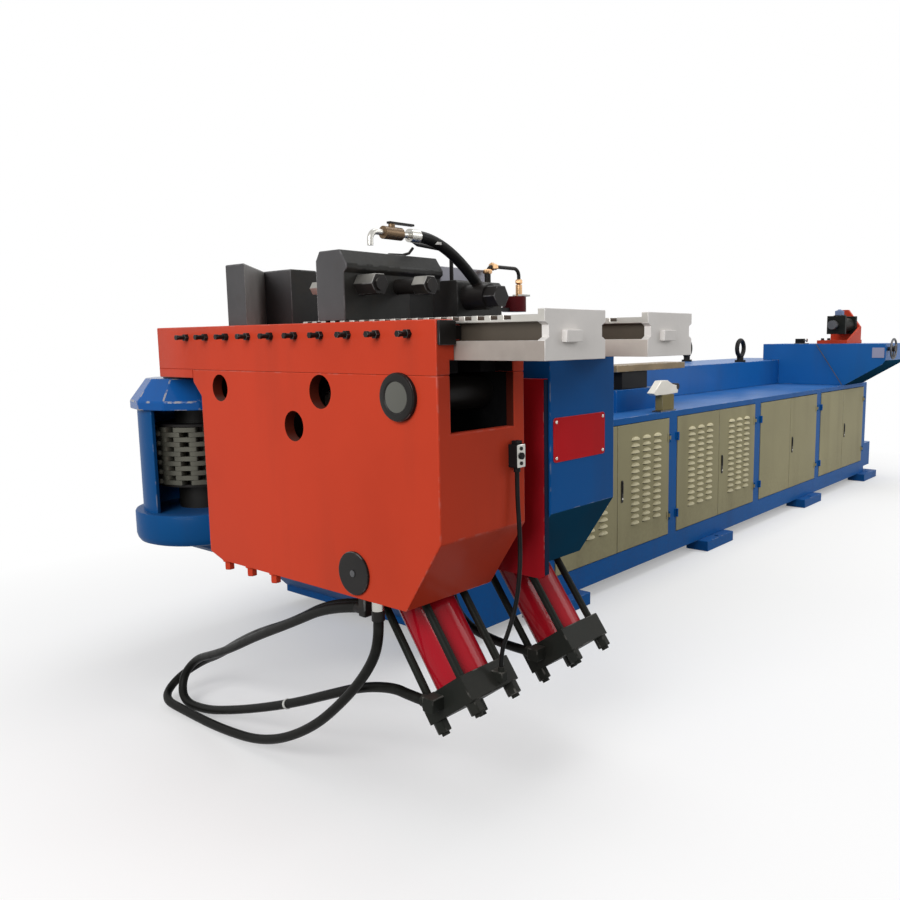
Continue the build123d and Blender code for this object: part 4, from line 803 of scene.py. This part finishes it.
def grow(name, recipe, body, slot, stands_for=(), **sizes):
    """Run a recipe once and keep what it makes as a plain mesh."""
    holder = bpy.data.objects.new(name + "_recipe", bpy.data.meshes.new(name + "_recipe"))
    scene.collection.objects.link(holder)
    modifier = holder.modifiers.new("recipe", "NODES")
    modifier.node_group = recipe.tree
    for size, value in sizes.items():
        modifier[recipe.keys[size]] = tuple(map(float, value)) if isinstance(value, tuple) else value
    mesh = bpy.data.meshes.new_from_object(holder.evaluated_get(bpy.context.evaluated_depsgraph_get()))
    holder.modifiers.clear()
    bpy.data.objects.remove(holder)
    bm = bmesh.new()
    bm.from_mesh(mesh)
    bmesh.ops.remove_doubles(bm, verts=bm.verts, dist=DOUBLED)
    bmesh.ops.recalc_face_normals(bm, faces=bm.faces)
    bm.to_mesh(mesh)
    bm.free()
    mesh.transform(TO_SCENE)
    mesh.shade_smooth()
    mesh.set_sharp_from_angle(angle=SHARP)
    mesh.name = name
    return settle(name, mesh, [], body, slot, stands_for)


print("recipes can be grown")

# %% [markdown]
# The doors of the first two bays are pressed with three columns of louvres to let the power unit breathe.
# One louvre is a quarter of a stretched ball: round above, flat and open below, and paler than the door,
# which is painted light; a thin dark strip under each hood is a painted shadow. A grid carries it over the
# door, and each door gets its own set so that the louvres swing with it.

# %% Louvres
louvre = Recipe("louvres", Columns=3, Rows=14, Across=113.0, Down=33.8, Wide=80.0, Tall=17.0, Proud=15.0,
                Middle=STILL)
columns, rows, across_by, down_by = map(louvre.size, ("Columns", "Rows", "Across", "Down"))
wide, tall, proud = map(louvre.size, ("Wide", "Tall", "Proud"))
ball = louvre.node("GeometryNodeMeshUVSphere", {}, {"Segments": 12, "Rings": 6, "Radius": 1.0})
ball = louvre.moved(ball, scale=louvre.vector(wide * 0.5, proud, tall))
here = louvre.node("GeometryNodeInputPosition", {}, {})
x, y, z = (louvre.part(here, axis) for axis in "XYZ")
flat_back, flat_foot = louvre.maths("MINIMUM", y, 0.8), louvre.maths("MAXIMUM", z, -1.0)
quarter = louvre.vector(x, flat_back, flat_foot)
hood = louvre.node("GeometryNodeSetPosition", {}, {"Geometry": ball, "Position": quarter})
# A thin dark strip under each hood: painted shadow.
shadow_strip = louvre.node("GeometryNodeMeshCube", {}, {"Size": louvre.vector(wide * 0.86, 1.2, 4.0)})
shadow_strip = louvre.node("GeometryNodeStoreNamedAttribute", {"data_type": "BOOLEAN", "domain": "FACE"},
                   {"Geometry": shadow_strip, "Name": "marked", "Value": True})
one = louvre.join_all(hood, louvre.moved(shadow_strip, by=(0, 0, -3.2)))
net = louvre.node("GeometryNodeMeshGrid", {}, {
    "Size X": across_by * (columns - 1), "Size Y": down_by * (rows - 1),
    "Vertices X": columns, "Vertices Y": rows})
net = louvre.moved(net, by=louvre.size("Middle"), turn=(math.pi / 2, 0, 0))
louvre.end(louvre.on(net, one), LOUVRE_LIT, SHADE_DARK)
MIDDLE_SHARE, MIDDLE_HEIGHT = 0.535, 515.0
for number in range(1, 5):
    middle = (DOOR_LEFT[number] + MIDDLE_SHARE * DOOR_WIDTH, DOOR_FACE, MIDDLE_HEIGHT)
    made = grow(f"louvres_{number}", louvre, f"door_{number}", "olive_steel", Middle=middle)
print(pieces[-4:], len(made.data.polygons), "faces each")

# %% [markdown]
# A leaf chain lies round the sprocket in the nose: flat plates in twelve layers, every second layer shifted
# by one link, with pins through them. Seen from outside this is a wall of bricks with dark gaps. One plate
# is stacked into a column, the column is set round the axis, and the same again half a step on.

# %% Chain
AXIS = (-590.0, 790.0, 833.0)
LINKS, PIN_LENGTH = 9, 216.0
chain = Recipe("leaf_chain", Links=LINKS, Layers=6, Radius=150.0, Long=88.0, High=38.0, Thick=17.0,
               Layer=36.0, Axis=AXIS)
count, radius = chain.size("Links"), chain.size("Radius")
plate = chain.node("GeometryNodeCurvePrimitiveQuadrilateral", {},
                   {"Width": chain.size("High"), "Height": chain.size("Long")})
plate = chain.node("GeometryNodeFilletCurve", {"mode": "POLY"},
                   {"Curve": plate, "Radius": 9.0, "Limit Radius": True, "Count": 2})
plate = chain.node("GeometryNodeFillCurve", {"mode": "NGONS"}, {"Curve": plate})
lid = chain.node("GeometryNodeExtrudeMesh", {},
                 {"Mesh": plate, "Offset Scale": chain.size("Thick"), "Individual": False})
plate = chain.join_all(lid, chain.node("GeometryNodeFlipFaces", {}, {0: plate}))
step = 2 * math.pi / LINKS
order = chain.node("GeometryNodeInputIndex", {}, {})
rings = []
for first, phase in [(-107.5, 0.0), (-89.5, step / 2)]:
    stack = chain.row(chain.size("Layers"), (0, 0, first), chain.vector(z=chain.size("Layer")))
    column = chain.moved(chain.on(stack, plate), by=chain.vector(x=radius))
    rings.append(chain.on(chain.row(count), column, chain.vector(z=order * step + phase)))
pin = chain.moved(chain.stub(10, 9.0, PIN_LENGTH), by=chain.vector(x=radius, z=-PIN_LENGTH / 2))
rings.append(chain.on(chain.row(count * 2), pin, chain.vector(z=order * (step / 2) + step / 4)))
chain.end(chain.moved(chain.join_all(*rings), by=chain.size("Axis")), CHAIN_STEEL)
made = grow("chain_links", chain, "arm", "zinc_steel", ("chain",))
print(pieces[-1], len(made.data.polygons), "faces")

# %% [markdown]
# Bolts come in rows: three under the arm, two rows on the rear panels, a few on the carriage, the nose cap
# and the head box. A bolt is a washer and a six-sided head with a chamfer. The recipe takes the first place,
# the step to the next and the direction.

# %% Bolts
UP, DOWN, BACK = STILL, (math.pi, 0, 0), (-math.pi / 2, 0, 0)
bolts = {}
for metal, finish, slot in [("plated", PLATED, "zinc_steel"), ("black", SCREW_BLACK, "dark_steel"),
                            ("red", ORANGE, "orange_red_paint"), ("blue", BLUE, "blue_paint")]:
    bolt = Recipe("bolt_row_" + metal, Count=1, First=STILL, Step=STILL, Turn=STILL, Size=20.0, Tall=12.0)
    size, tall = bolt.size("Size"), bolt.size("Tall")
    washer, corner = size * 0.14, size * 0.577
    chamfer = bolt.stub(6, corner, size * 0.08, corner * 0.84)
    head = bolt.join_all(
        bolt.stub(16, size * 0.72, washer), bolt.moved(bolt.stub(6, corner, tall), by=bolt.vector(z=washer)),
        bolt.moved(chamfer, by=bolt.vector(z=washer + tall)))
    places = bolt.row(bolt.size("Count"), bolt.size("First"), bolt.size("Step"))
    bolt.end(bolt.on(places, head, bolt.size("Turn")), finish)
    bolts[metal] = bolt, slot
total = 0
for name, metal, body, count, first, each, turn, size, tall in [
        ("arm_foot_bolts", "red", "arm", 3, (-933, 73, 585), (0, -120, 0), DOWN, 26.0, 24.0),
        ("panel_screws_low", "plated", "frame", 16, (690, 1124, 160), (294, 0, 0), BACK, 11.0, 5.0),
        ("panel_screws_high", "plated", "frame", 16, (690, 1124, 830), (294, 0, 0), BACK, 11.0, 5.0),
        ("carriage_bolts", "black", "mandrel_carriage", 3, (4720, 215, 1221.4), (150, 0, 0), UP, 22.0, 12.0),
        ("nose_cap_bolts", "black", "frame", 2, (-640, 610, 1122), (100, 0, 0), UP, 16.0, 8.0),
        ("head_bolts", "blue", "frame", 4, (-350, 200, 1005), (0, 220, 0), UP, 30.0, 16.0)]:
    bolt, slot = bolts[metal]
    grow(name, bolt, body, slot, Count=count, First=first, Step=each, Turn=turn, Size=size, Tall=tall)
    total += count
print("bolts", total)

# %% [markdown]
# The last pieces are single ones: covers, plates, switches, clips. A small bench keeps a piece while shapes
# are added to it, each given in machine millimetres with its own finish, and then rounds and settles it.

# %% Outlines
FRONT, DOORWARD, RISING = (-1, 0, 0), (0, -1, 0), (0, 0, 1)


def circle(radius, sides, along=0.0):
    angles = [2 * math.pi * k / sides for k in range(sides)]
    return [Vector((radius * math.cos(a), radius * math.sin(a), along)) for a in angles]


def rounded(x0, x1, z0, z1, radius, steps=5):
    """The outline of a plate with round corners."""
    points = []
    for cx, cz, start in [(x1 - radius, z1 - radius, 0), (x0 + radius, z1 - radius, 90),
                          (x0 + radius, z0 + radius, 180), (x1 - radius, z0 + radius, 270)]:
        for k in range(steps + 1):
            angle = math.radians(start + 90 * k / steps)
            points.append((cx + radius * math.cos(angle), cz + radius * math.sin(angle)))
    return points


print("a plate's outline has", len(rounded(0, 9, 0, 9, 1)), "points")

# %% [markdown]
# Every shape on the bench is a skin over rings of points: an outline pushed along an axis, a turned profile,
# or a bar bent through points. That one way of building keeps all of them closed.

# %% Bench
AXES = {"x": lambda a, b, c: (c, a, b), "y": lambda a, b, c: (a, c, b), "z": lambda a, b, c: (a, b, c)}


class Bench:
    """A small piece under way, in machine millimetres."""

    def __init__(self, name):
        self.name = name
        self.bm = bmesh.new()
        self.bm.loops.layers.float.new("edge_wear")
        self.finishes = []

    def _add(self, rings, finish, round_by, closed=True):
        """Skin over rings of points, the first and last closed with a face each, or joined to each other."""
        if finish not in self.finishes:
            self.finishes.append(finish)
        part = bmesh.new()
        mark = part.loops.layers.float.new("edge_wear")
        made = [[part.verts.new(p) for p in ring] for ring in rings]
        count = len(made[0])
        for low, high in zip(made, made[1:] + ([] if closed else made[:1])):
            for k in range(count):
                part.faces.new((low[k], low[(k + 1) % count], high[(k + 1) % count], high[k]))
        if closed:
            part.faces.new(made[0])
            part.faces.new(made[-1])
        bmesh.ops.recalc_face_normals(part, faces=part.faces)
        edges = [e for e in part.edges if round_by and e.calc_face_angle(0.0) > SHARP and e.is_convex]
        soften(part, mark, edges, round_by, SHARP)
        for face in part.faces:
            face.material_index = self.finishes.index(finish)
        mesh = bpy.data.meshes.new("part")
        part.to_mesh(mesh)
        part.free()
        self.bm.from_mesh(mesh)
        bpy.data.meshes.remove(mesh)

    def prism(self, axis, outline, low, high, finish, round_by=1.0):
        """An outline pushed along an axis."""
        place = AXES[axis]
        self._add([[place(a, b, level) for a, b in outline] for level in (low, high)], finish, round_by)

    def block(self, low, high, finish, round_by=1.0):
        outline = [(low[0], low[1]), (high[0], low[1]), (high[0], high[1]), (low[0], high[1])]
        self.prism("z", outline, low[2], high[2], finish, round_by)

    def turned(self, foot, way, profile, finish, sides=28, closed=True):
        """A turned shape: (distance along, radius) pairs from a foot point; not closed, it is a ring."""
        turn = Vector(RISING).rotation_difference(Vector(way))
        rings = []
        for along, radius in profile:
            rings.append([Vector(foot) + turn @ point for point in circle(radius, sides, along)])
        self._add(rings, finish, 0, closed)

    def bent(self, points, radius, finish, sides=10):
        """A bar bent through points."""
        points = [Vector(p) for p in points]
        rings = []
        for k, here in enumerate(points):
            way = (points[min(k + 1, len(points) - 1)] - points[max(k - 1, 0)]).normalized()
            turn = Vector(RISING).rotation_difference(way)
            rings.append([here + turn @ point for point in circle(radius, sides)])
        self._add(rings, finish, 0)

    def done(self, body, slot, stands_for=()):
        mesh = bpy.data.meshes.new(self.name)
        self.bm.to_mesh(mesh)
        self.bm.free()
        mesh.transform(TO_SCENE)
        return settle(self.name, mesh, self.finishes, body, slot, stands_for)


print("bench ready")

# %% [markdown]
# On the arm's face sits a sight cover: a black ring with a dull grey pane. Lower down, over the trunnion, a
# black cap with a small plug. The end of the guide is closed by a dark plate, a black sleeve grips one of the
# oil hoses, and the switch on the arm's end has two screws and a button.

# %% Arm trim
SIGHT = (-962, -735, 1118)
trim = Bench("arm_covers")
trim.turned(SIGHT, FRONT, [(0, 58), (2.5, 57), (4.0, 53), (4.0, 41), (1.0, 37)], SCREW_BLACK, 40)
trim.turned(SIGHT, FRONT, [(0.2, 38), (2.0, 37.5), (3.2, 26), (3.6, 10)], PANE_GREY, 40)
trim.turned((-958, -545, 652), FRONT, [(0, 9), (2, 9), (3, 6), (3, 2)], DARK_STEEL, 18)
trim.prism("y", rounded(-947, -892, 1241, 1298, 3, 2), -868, -860, SCREW_BLACK)
trim.prism("y", rounded(-892, -868, 1254, 1286, 2, 2), -863, -860, SCREW_BLACK)
trim.turned((-935, -613, 533), RISING, [(0, 15), (1, 17.5), (26, 17.5), (28, 16)], SCREW_BLACK, 24)
trim.done("arm", "dark_steel")
switch = Bench("switch_fittings")
for z in (938, 976):
    switch.turned((-681, -890, z), DOORWARD, [(0, 5), (2, 5), (2.6, 4), (2.6, 1.5)], SCREW_BLACK, 14)
switch.turned((-681, -890, 957), DOORWARD, [(0, 9), (4, 9), (6, 7), (6, 2)], PLASTIC, 20)
switch.block((-692, -884, 987), (-670, -866, 996), PLASTIC)
switch.done("arm", "black_plastic")
print(pieces[-2:])

# %% [markdown]
# Low on the nose the drum is thicker: a skirt goes round it up to the sill of the windows, and under it a
# foot ties the drum to the head box; both are in the nose's darker blue, which is painted shade. Beside the
# bracket stands a plain crimson plate; its front edge, toward the door side, carries a thin dark blue strip
# that is painted shade.

# %% Nose skirt and side plate
SKIRT = [(4, 212), (0, 226), (5, 239), (16, 246), (30, 250), (113, 250), (118, 247), (119, 243), (119, 212)]
FOOT = [(-612, 508), (-612, 452), (-590, 430), (-327, 430), (-402, 508)]
nose = Bench("nose_skirt")
nose.turned((AXIS[0], AXIS[1], 505), RISING, SKIRT, NOSE_BLUE_SHADE, 72, closed=False)
nose.prism("y", FOOT, 640, 985, NOSE_BLUE_SHADE, 4)
nose.done("frame", "blue_paint")
side = Bench("bracket_side_plate_dressed")
side.prism("x", [(-852, 1146), (-852, 600), (-838, 590), (52, 590), (52, 1146)], -537, -517, CRIMSON, 1.5)
# A thin dark blue strip on the plate's front edge: painted shade.
side.prism("x", [(-854, 1144), (-854, 602), (-852, 602), (-852, 1144)], -536, -518, SHADE_NAVY, 0.5)
side.done("frame", "crimson_paint", ("bracket_side_plate",))
print(pieces[-2:])

# %% [markdown]
# On the blue bracket's end is a bare red plate with rounded corners, held by four rivets.

# %% Bare plate
plate = Bench("bracket_plate")
plate.prism("y", rounded(-505, -251, 914, 1038, 10), -863, -860, PLATE_RED)
for x in (-493, -263):
    for z in (926, 1026):
        plate.turned((x, -863, z), DOORWARD, [(0, 5), (1.5, 4.5), (2.4, 2.5), (2.5, 0.8)], PLATED, 14)
plate.done("frame", "crimson_paint")
print(pieces[-1])

# %% [markdown]
# The doors close with flat lock bars beside the split. Each right-hand door carries one.

# %% Door locks
LOCK_INSET = 40
for number in (2, 4, 6, 8):
    lock = Bench(f"lock_{number}")
    x = DOOR_LEFT[number] + LOCK_INSET
    lock.prism("y", rounded(x - 9, x + 9, 425, 540, 8, 4), -7, DOOR_FACE, SCREW_BLACK, 1.0)
    lock.prism("y", rounded(x - 4, x + 4, 470, 532, 3.5, 3), -11, -7, SCREW_BLACK, 1.0)
    lock.turned((x, -7, 445), DOORWARD, [(0, 6), (2, 6), (2.5, 5), (2.5, 1.5)], PLATED, 16)
    lock.done(f"door_{number}", "dark_steel")
print(pieces[-4:])

# %% [markdown]
# A limit switch stands on the deck ahead of the tube support: a flat base, an olive box and a bright head
# shaped like a shoe.

# %% Deck switch
SHOE = [(1565, 960), (1590, 948), (1700, 946), (1835, 950), (1843, 990), (1780, 1000), (1720, 1024),
        (1650, 1024), (1600, 985)]
limit = Bench("deck_switch")
limit.block((1636, 5, 855), (1803, 62, 862), DARK_STEEL)
limit.block((1660, 10, 862), (1790, 56, 946), SWITCH_OLIVE, 3)
limit.prism("y", SHOE, 12, 54, SHOE_SILVER, 3)
limit.turned((1836, 33, 985), DOORWARD, [(-22, 16), (-20, 18), (20, 18), (22, 16)], SCREW_BLACK, 20)
limit.done("frame", "zinc_steel")
print(pieces[-1])

# %% [markdown]
# On the lubricant line the feed tube has brass nuts and a white clip. The clamp seat has a bent hook on its
# top to lift it by and a stop nut on its inner side.

# %% Lubricant and seat fittings
NUT_LENGTH, NUT_CHAMFER = 14, 2
HOOK = [(-694, -420, 1486), (-684, -420, 1493), (-662, -420, 1494), (-632, -420, 1495), (-606, -420, 1502),
        (-590, -420, 1518)]
feed = Bench("feed_fittings")
for x, radius in [(-250, 13), (-236, 10)]:
    face = radius * 0.8
    nut = [(0, face), (NUT_CHAMFER, radius), (NUT_LENGTH - NUT_CHAMFER, radius), (NUT_LENGTH, face)]
    feed.turned((x, -425, 1486), (1, 0, 0), nut, BRASS, 6)
feed.turned((-108, -425, 1436), RISING, [(0, 9), (4, 12), (12, 12), (16, 9)], BRASS, 6)
feed.block((-118, -445, 1396), (-72, -405, 1402), BAND_WHITE)
feed.turned((-267, -425, 1462), RISING, [(0, 13), (3, 15), (11, 15), (14, 11)], BRASS, 6)
feed.done("pressure_carriage", "brass_fitting")
grip = Bench("seat_fittings")
grip.bent(HOOK, 4, SCREW_BLACK)
grip.turned((-850, -357, 1397), (0, 1, 0), [(0, 24), (18, 24), (20, 19), (58, 19), (62, 15)], SCREW_PALE_AND_HIGHLIT, 6)
grip.done("clamp_carriage", "black_tool")
print(pieces[-2:])

# %% [markdown]
# A white tie goes round the lubricant hose and another round one of the oil hoses. A tie is a short collar,
# so it is turned along the hose's own line, read from the curve.

# %% Ties
TIE_WIDTH, TIE_THICK, TIE_EDGE = 8, 2, 0.6


def centre_line(hose, count):
    """Points along a hose's own smooth line, as Blender draws it without its round section."""
    bare = hose.data.copy()
    bare.bevel_depth = 0.0
    holder = bpy.data.objects.new("bare_line", bare)
    scene.collection.objects.link(holder)
    mesh = bpy.data.meshes.new_from_object(holder.evaluated_get(bpy.context.evaluated_depsgraph_get()))
    points = [v.co.copy() for v in mesh.vertices]
    bpy.data.objects.remove(holder)
    step = (len(points) - 1) / (count - 1)
    return [points[round(k * step)] for k in range(count)]


def tie(name, node, percent):
    """A white collar round a hose, at a percentage of its length."""
    line = centre_line(hoses[node], 101)
    radius, body = ROUTES[node][1:3]
    middle = TO_MACHINE @ line[percent]
    way = (line[percent + 1] - line[percent - 1]).normalized()
    outer = radius + TIE_THICK
    profile = [(0, radius), (TIE_EDGE, outer), (TIE_WIDTH - TIE_EDGE, outer), (TIE_WIDTH, radius)]
    collar = Bench(name)
    collar.turned(middle - way * (TIE_WIDTH / 2), way, profile, BAND_WHITE, 24)
    collar.done(body, "black_rubber")


tie("lube_tie", "lube_hose", 30)
tie("hose_tie", "cap_hose", 70)
print(pieces[-2:])

# %% [markdown]
# The far platform is small in the picture but a machine is walked round, so it gets its fittings too: a coil
# on the mandrel cylinder, a roller switch beside it, a stay rod to the deck and a primed patch on the end.

# %% Platform fittings
coil = Bench("mandrel_coil")
coil.block((4735, 62, 1405), (4805, 138, 1424), BLACK_PAINT, 2)
coil.block((4742, 70, 1424), (4798, 130, 1462), COIL_GREY, 4)
coil.turned((4770, 100, 1462), RISING, [(0, 24), (4, 24), (6, 12), (10, 12), (11, 9)], COIL_GREY, 20)
coil.block((4812, 80, 1405), (4872, 124, 1430), BLACK_PAINT, 3)
coil.done("mandrel_carriage", "grey_unit")
stop = Bench("platform_switch")
stop.block((4662, 322, 1193), (4702, 432, 1199), DARK_STEEL)
stop.block((4666, 352, 1199), (4698, 427, 1236), PLASTIC, 3)
stop.turned((4682, 338, 1222), DOORWARD, [(-14, 6), (0, 6), (0.5, 14), (9, 14), (9.5, 10)], PLATED, 20)
stop.done("frame", "black_plastic")
stay = Bench("platform_stay")
stay.turned((4640, 240, 1190), Vector((-30, -230, -328)).normalized(), [(0, 3.5), (402, 3.5)], DARK_STEEL, 10)
stay.done("frame", "zinc_steel")
patch = Bench("platform_patch")
patch.block((4646, -300, 1080), (4650, -208, 1160), PRIMER)
patch.done("frame", "grey_unit")
print(pieces[-4:])

# %% [markdown]
# The floor is a plain pale sheet. Far out it turns into plain white, so that no horizon shows, but near the
# machine it takes the shadow. The camera and reflections see it pale, and it throws little light back up.

# %% Floor


def seen_rays(wiring):
    """1 for rays that show the backdrop, 0 for those that light the machine."""
    kinds = ("Is Camera Ray", "Is Glossy Ray", "Is Transmission Ray")
    camera_ray, glossy_ray, glass_ray = (wiring.node("ShaderNodeLightPath", {}, {}, kind) for kind in kinds)
    return wiring.maths("MINIMUM", camera_ray + glossy_ray + glass_ray, 1.0)


REACH, UNDER = 40.0, -0.001
FLOOR_DIM, FLOOR_PALE, WHITE = (0.16, 0.16, 0.16, 1.0), (0.95, 0.95, 0.95, 1.0), (1.0, 1.0, 1.0, 1.0)
corners = [(-REACH, -REACH, UNDER), (REACH, -REACH, UNDER), (REACH, REACH, UNDER), (-REACH, REACH, UNDER)]
floor_mesh = bpy.data.meshes.new("floor")
floor_mesh.from_pydata(corners, [], [(0, 1, 2, 3)])
sheet = Finish("pale_floor", Roughness=0.9, Specular_IOR_Level=0.1)
seen = seen_rays(sheet)
sheet.feed("Base Color", sheet.mix(seen, FLOOR_DIM, FLOOR_PALE))
past = []
for axis, half in (("X", 2.9), ("Y", 0.9)):
    away = sheet.maths("ABSOLUTE", sheet.part(sheet.place(), axis)) - half
    past.append(sheet.maths("MAXIMUM", away, 0.0))
distance = sheet.maths("SQRT", past[0] * past[0] + past[1] * past[1])
white = sheet.node("ShaderNodeEmission", {}, {"Color": WHITE, "Strength": 1.0})
fade = (sheet.band(distance, 0.2, 2.0) * 0.7 + 0.3) * seen
shaded = Signal(sheet, sheet.shader.outputs[0])
blended = sheet.node("ShaderNodeMixShader", {}, {0: fade, 1: shaded, 2: white})
sheet.join(sheet.output.inputs["Surface"], blended)
floor_mesh.materials.append(sheet.material)
floor = bpy.data.objects.new("floor", floor_mesh)
scene.collection.objects.link(floor)
print("floor", 2 * REACH, "m square")

# %% [markdown]
# Soft light from all round keeps the colours as they are written, and its source is white to the camera and
# in reflections. One broad lamp in front gives the enamel its highlights, one fills the door side and one
# hangs over the bed.

# %% Light
SKY = 0.5
world = bpy.data.worlds.new("studio")
scene.world = world
world.use_nodes = True
sky = Wiring(world.node_tree)
backdrop = world.node_tree.nodes["Background"]
sky.join(backdrop.inputs["Color"], WHITE)
sky.join(backdrop.inputs["Strength"], seen_rays(sky) * (1 - SKY) + SKY)


def soft_lamp(name, place, target, size, watts):
    lamp = bpy.data.lights.new(name, "AREA")
    lamp.shape = "RECTANGLE"
    lamp.size, lamp.size_y = size
    lamp.energy = watts
    holder = bpy.data.objects.new(name, lamp)
    aim = (Vector(target) - Vector(place)).to_track_quat("-Z", "Y")
    holder.matrix_world = Matrix.Translation(place) @ aim.to_matrix().to_4x4()
    scene.collection.objects.link(holder)


soft_lamp("key", (-8.2, -1.6, 3.6), (-2.8, -0.1, 0.8), (4.0, 3.0), 250)
soft_lamp("door_side", (4.2, -5.8, 4.2), (2.0, 0.0, 0.6), (5.0, 3.0), 170)
soft_lamp("overhead", (1.2, 0.0, 6.4), (1.2, 0.0, 0.8), (7.0, 3.0), 160)
scene.view_settings.view_transform = "Standard"
print("lamps", len(bpy.data.lights))

# %% [markdown]
# Last, the view layer is brought up to date.

bpy.context.view_layer.update()
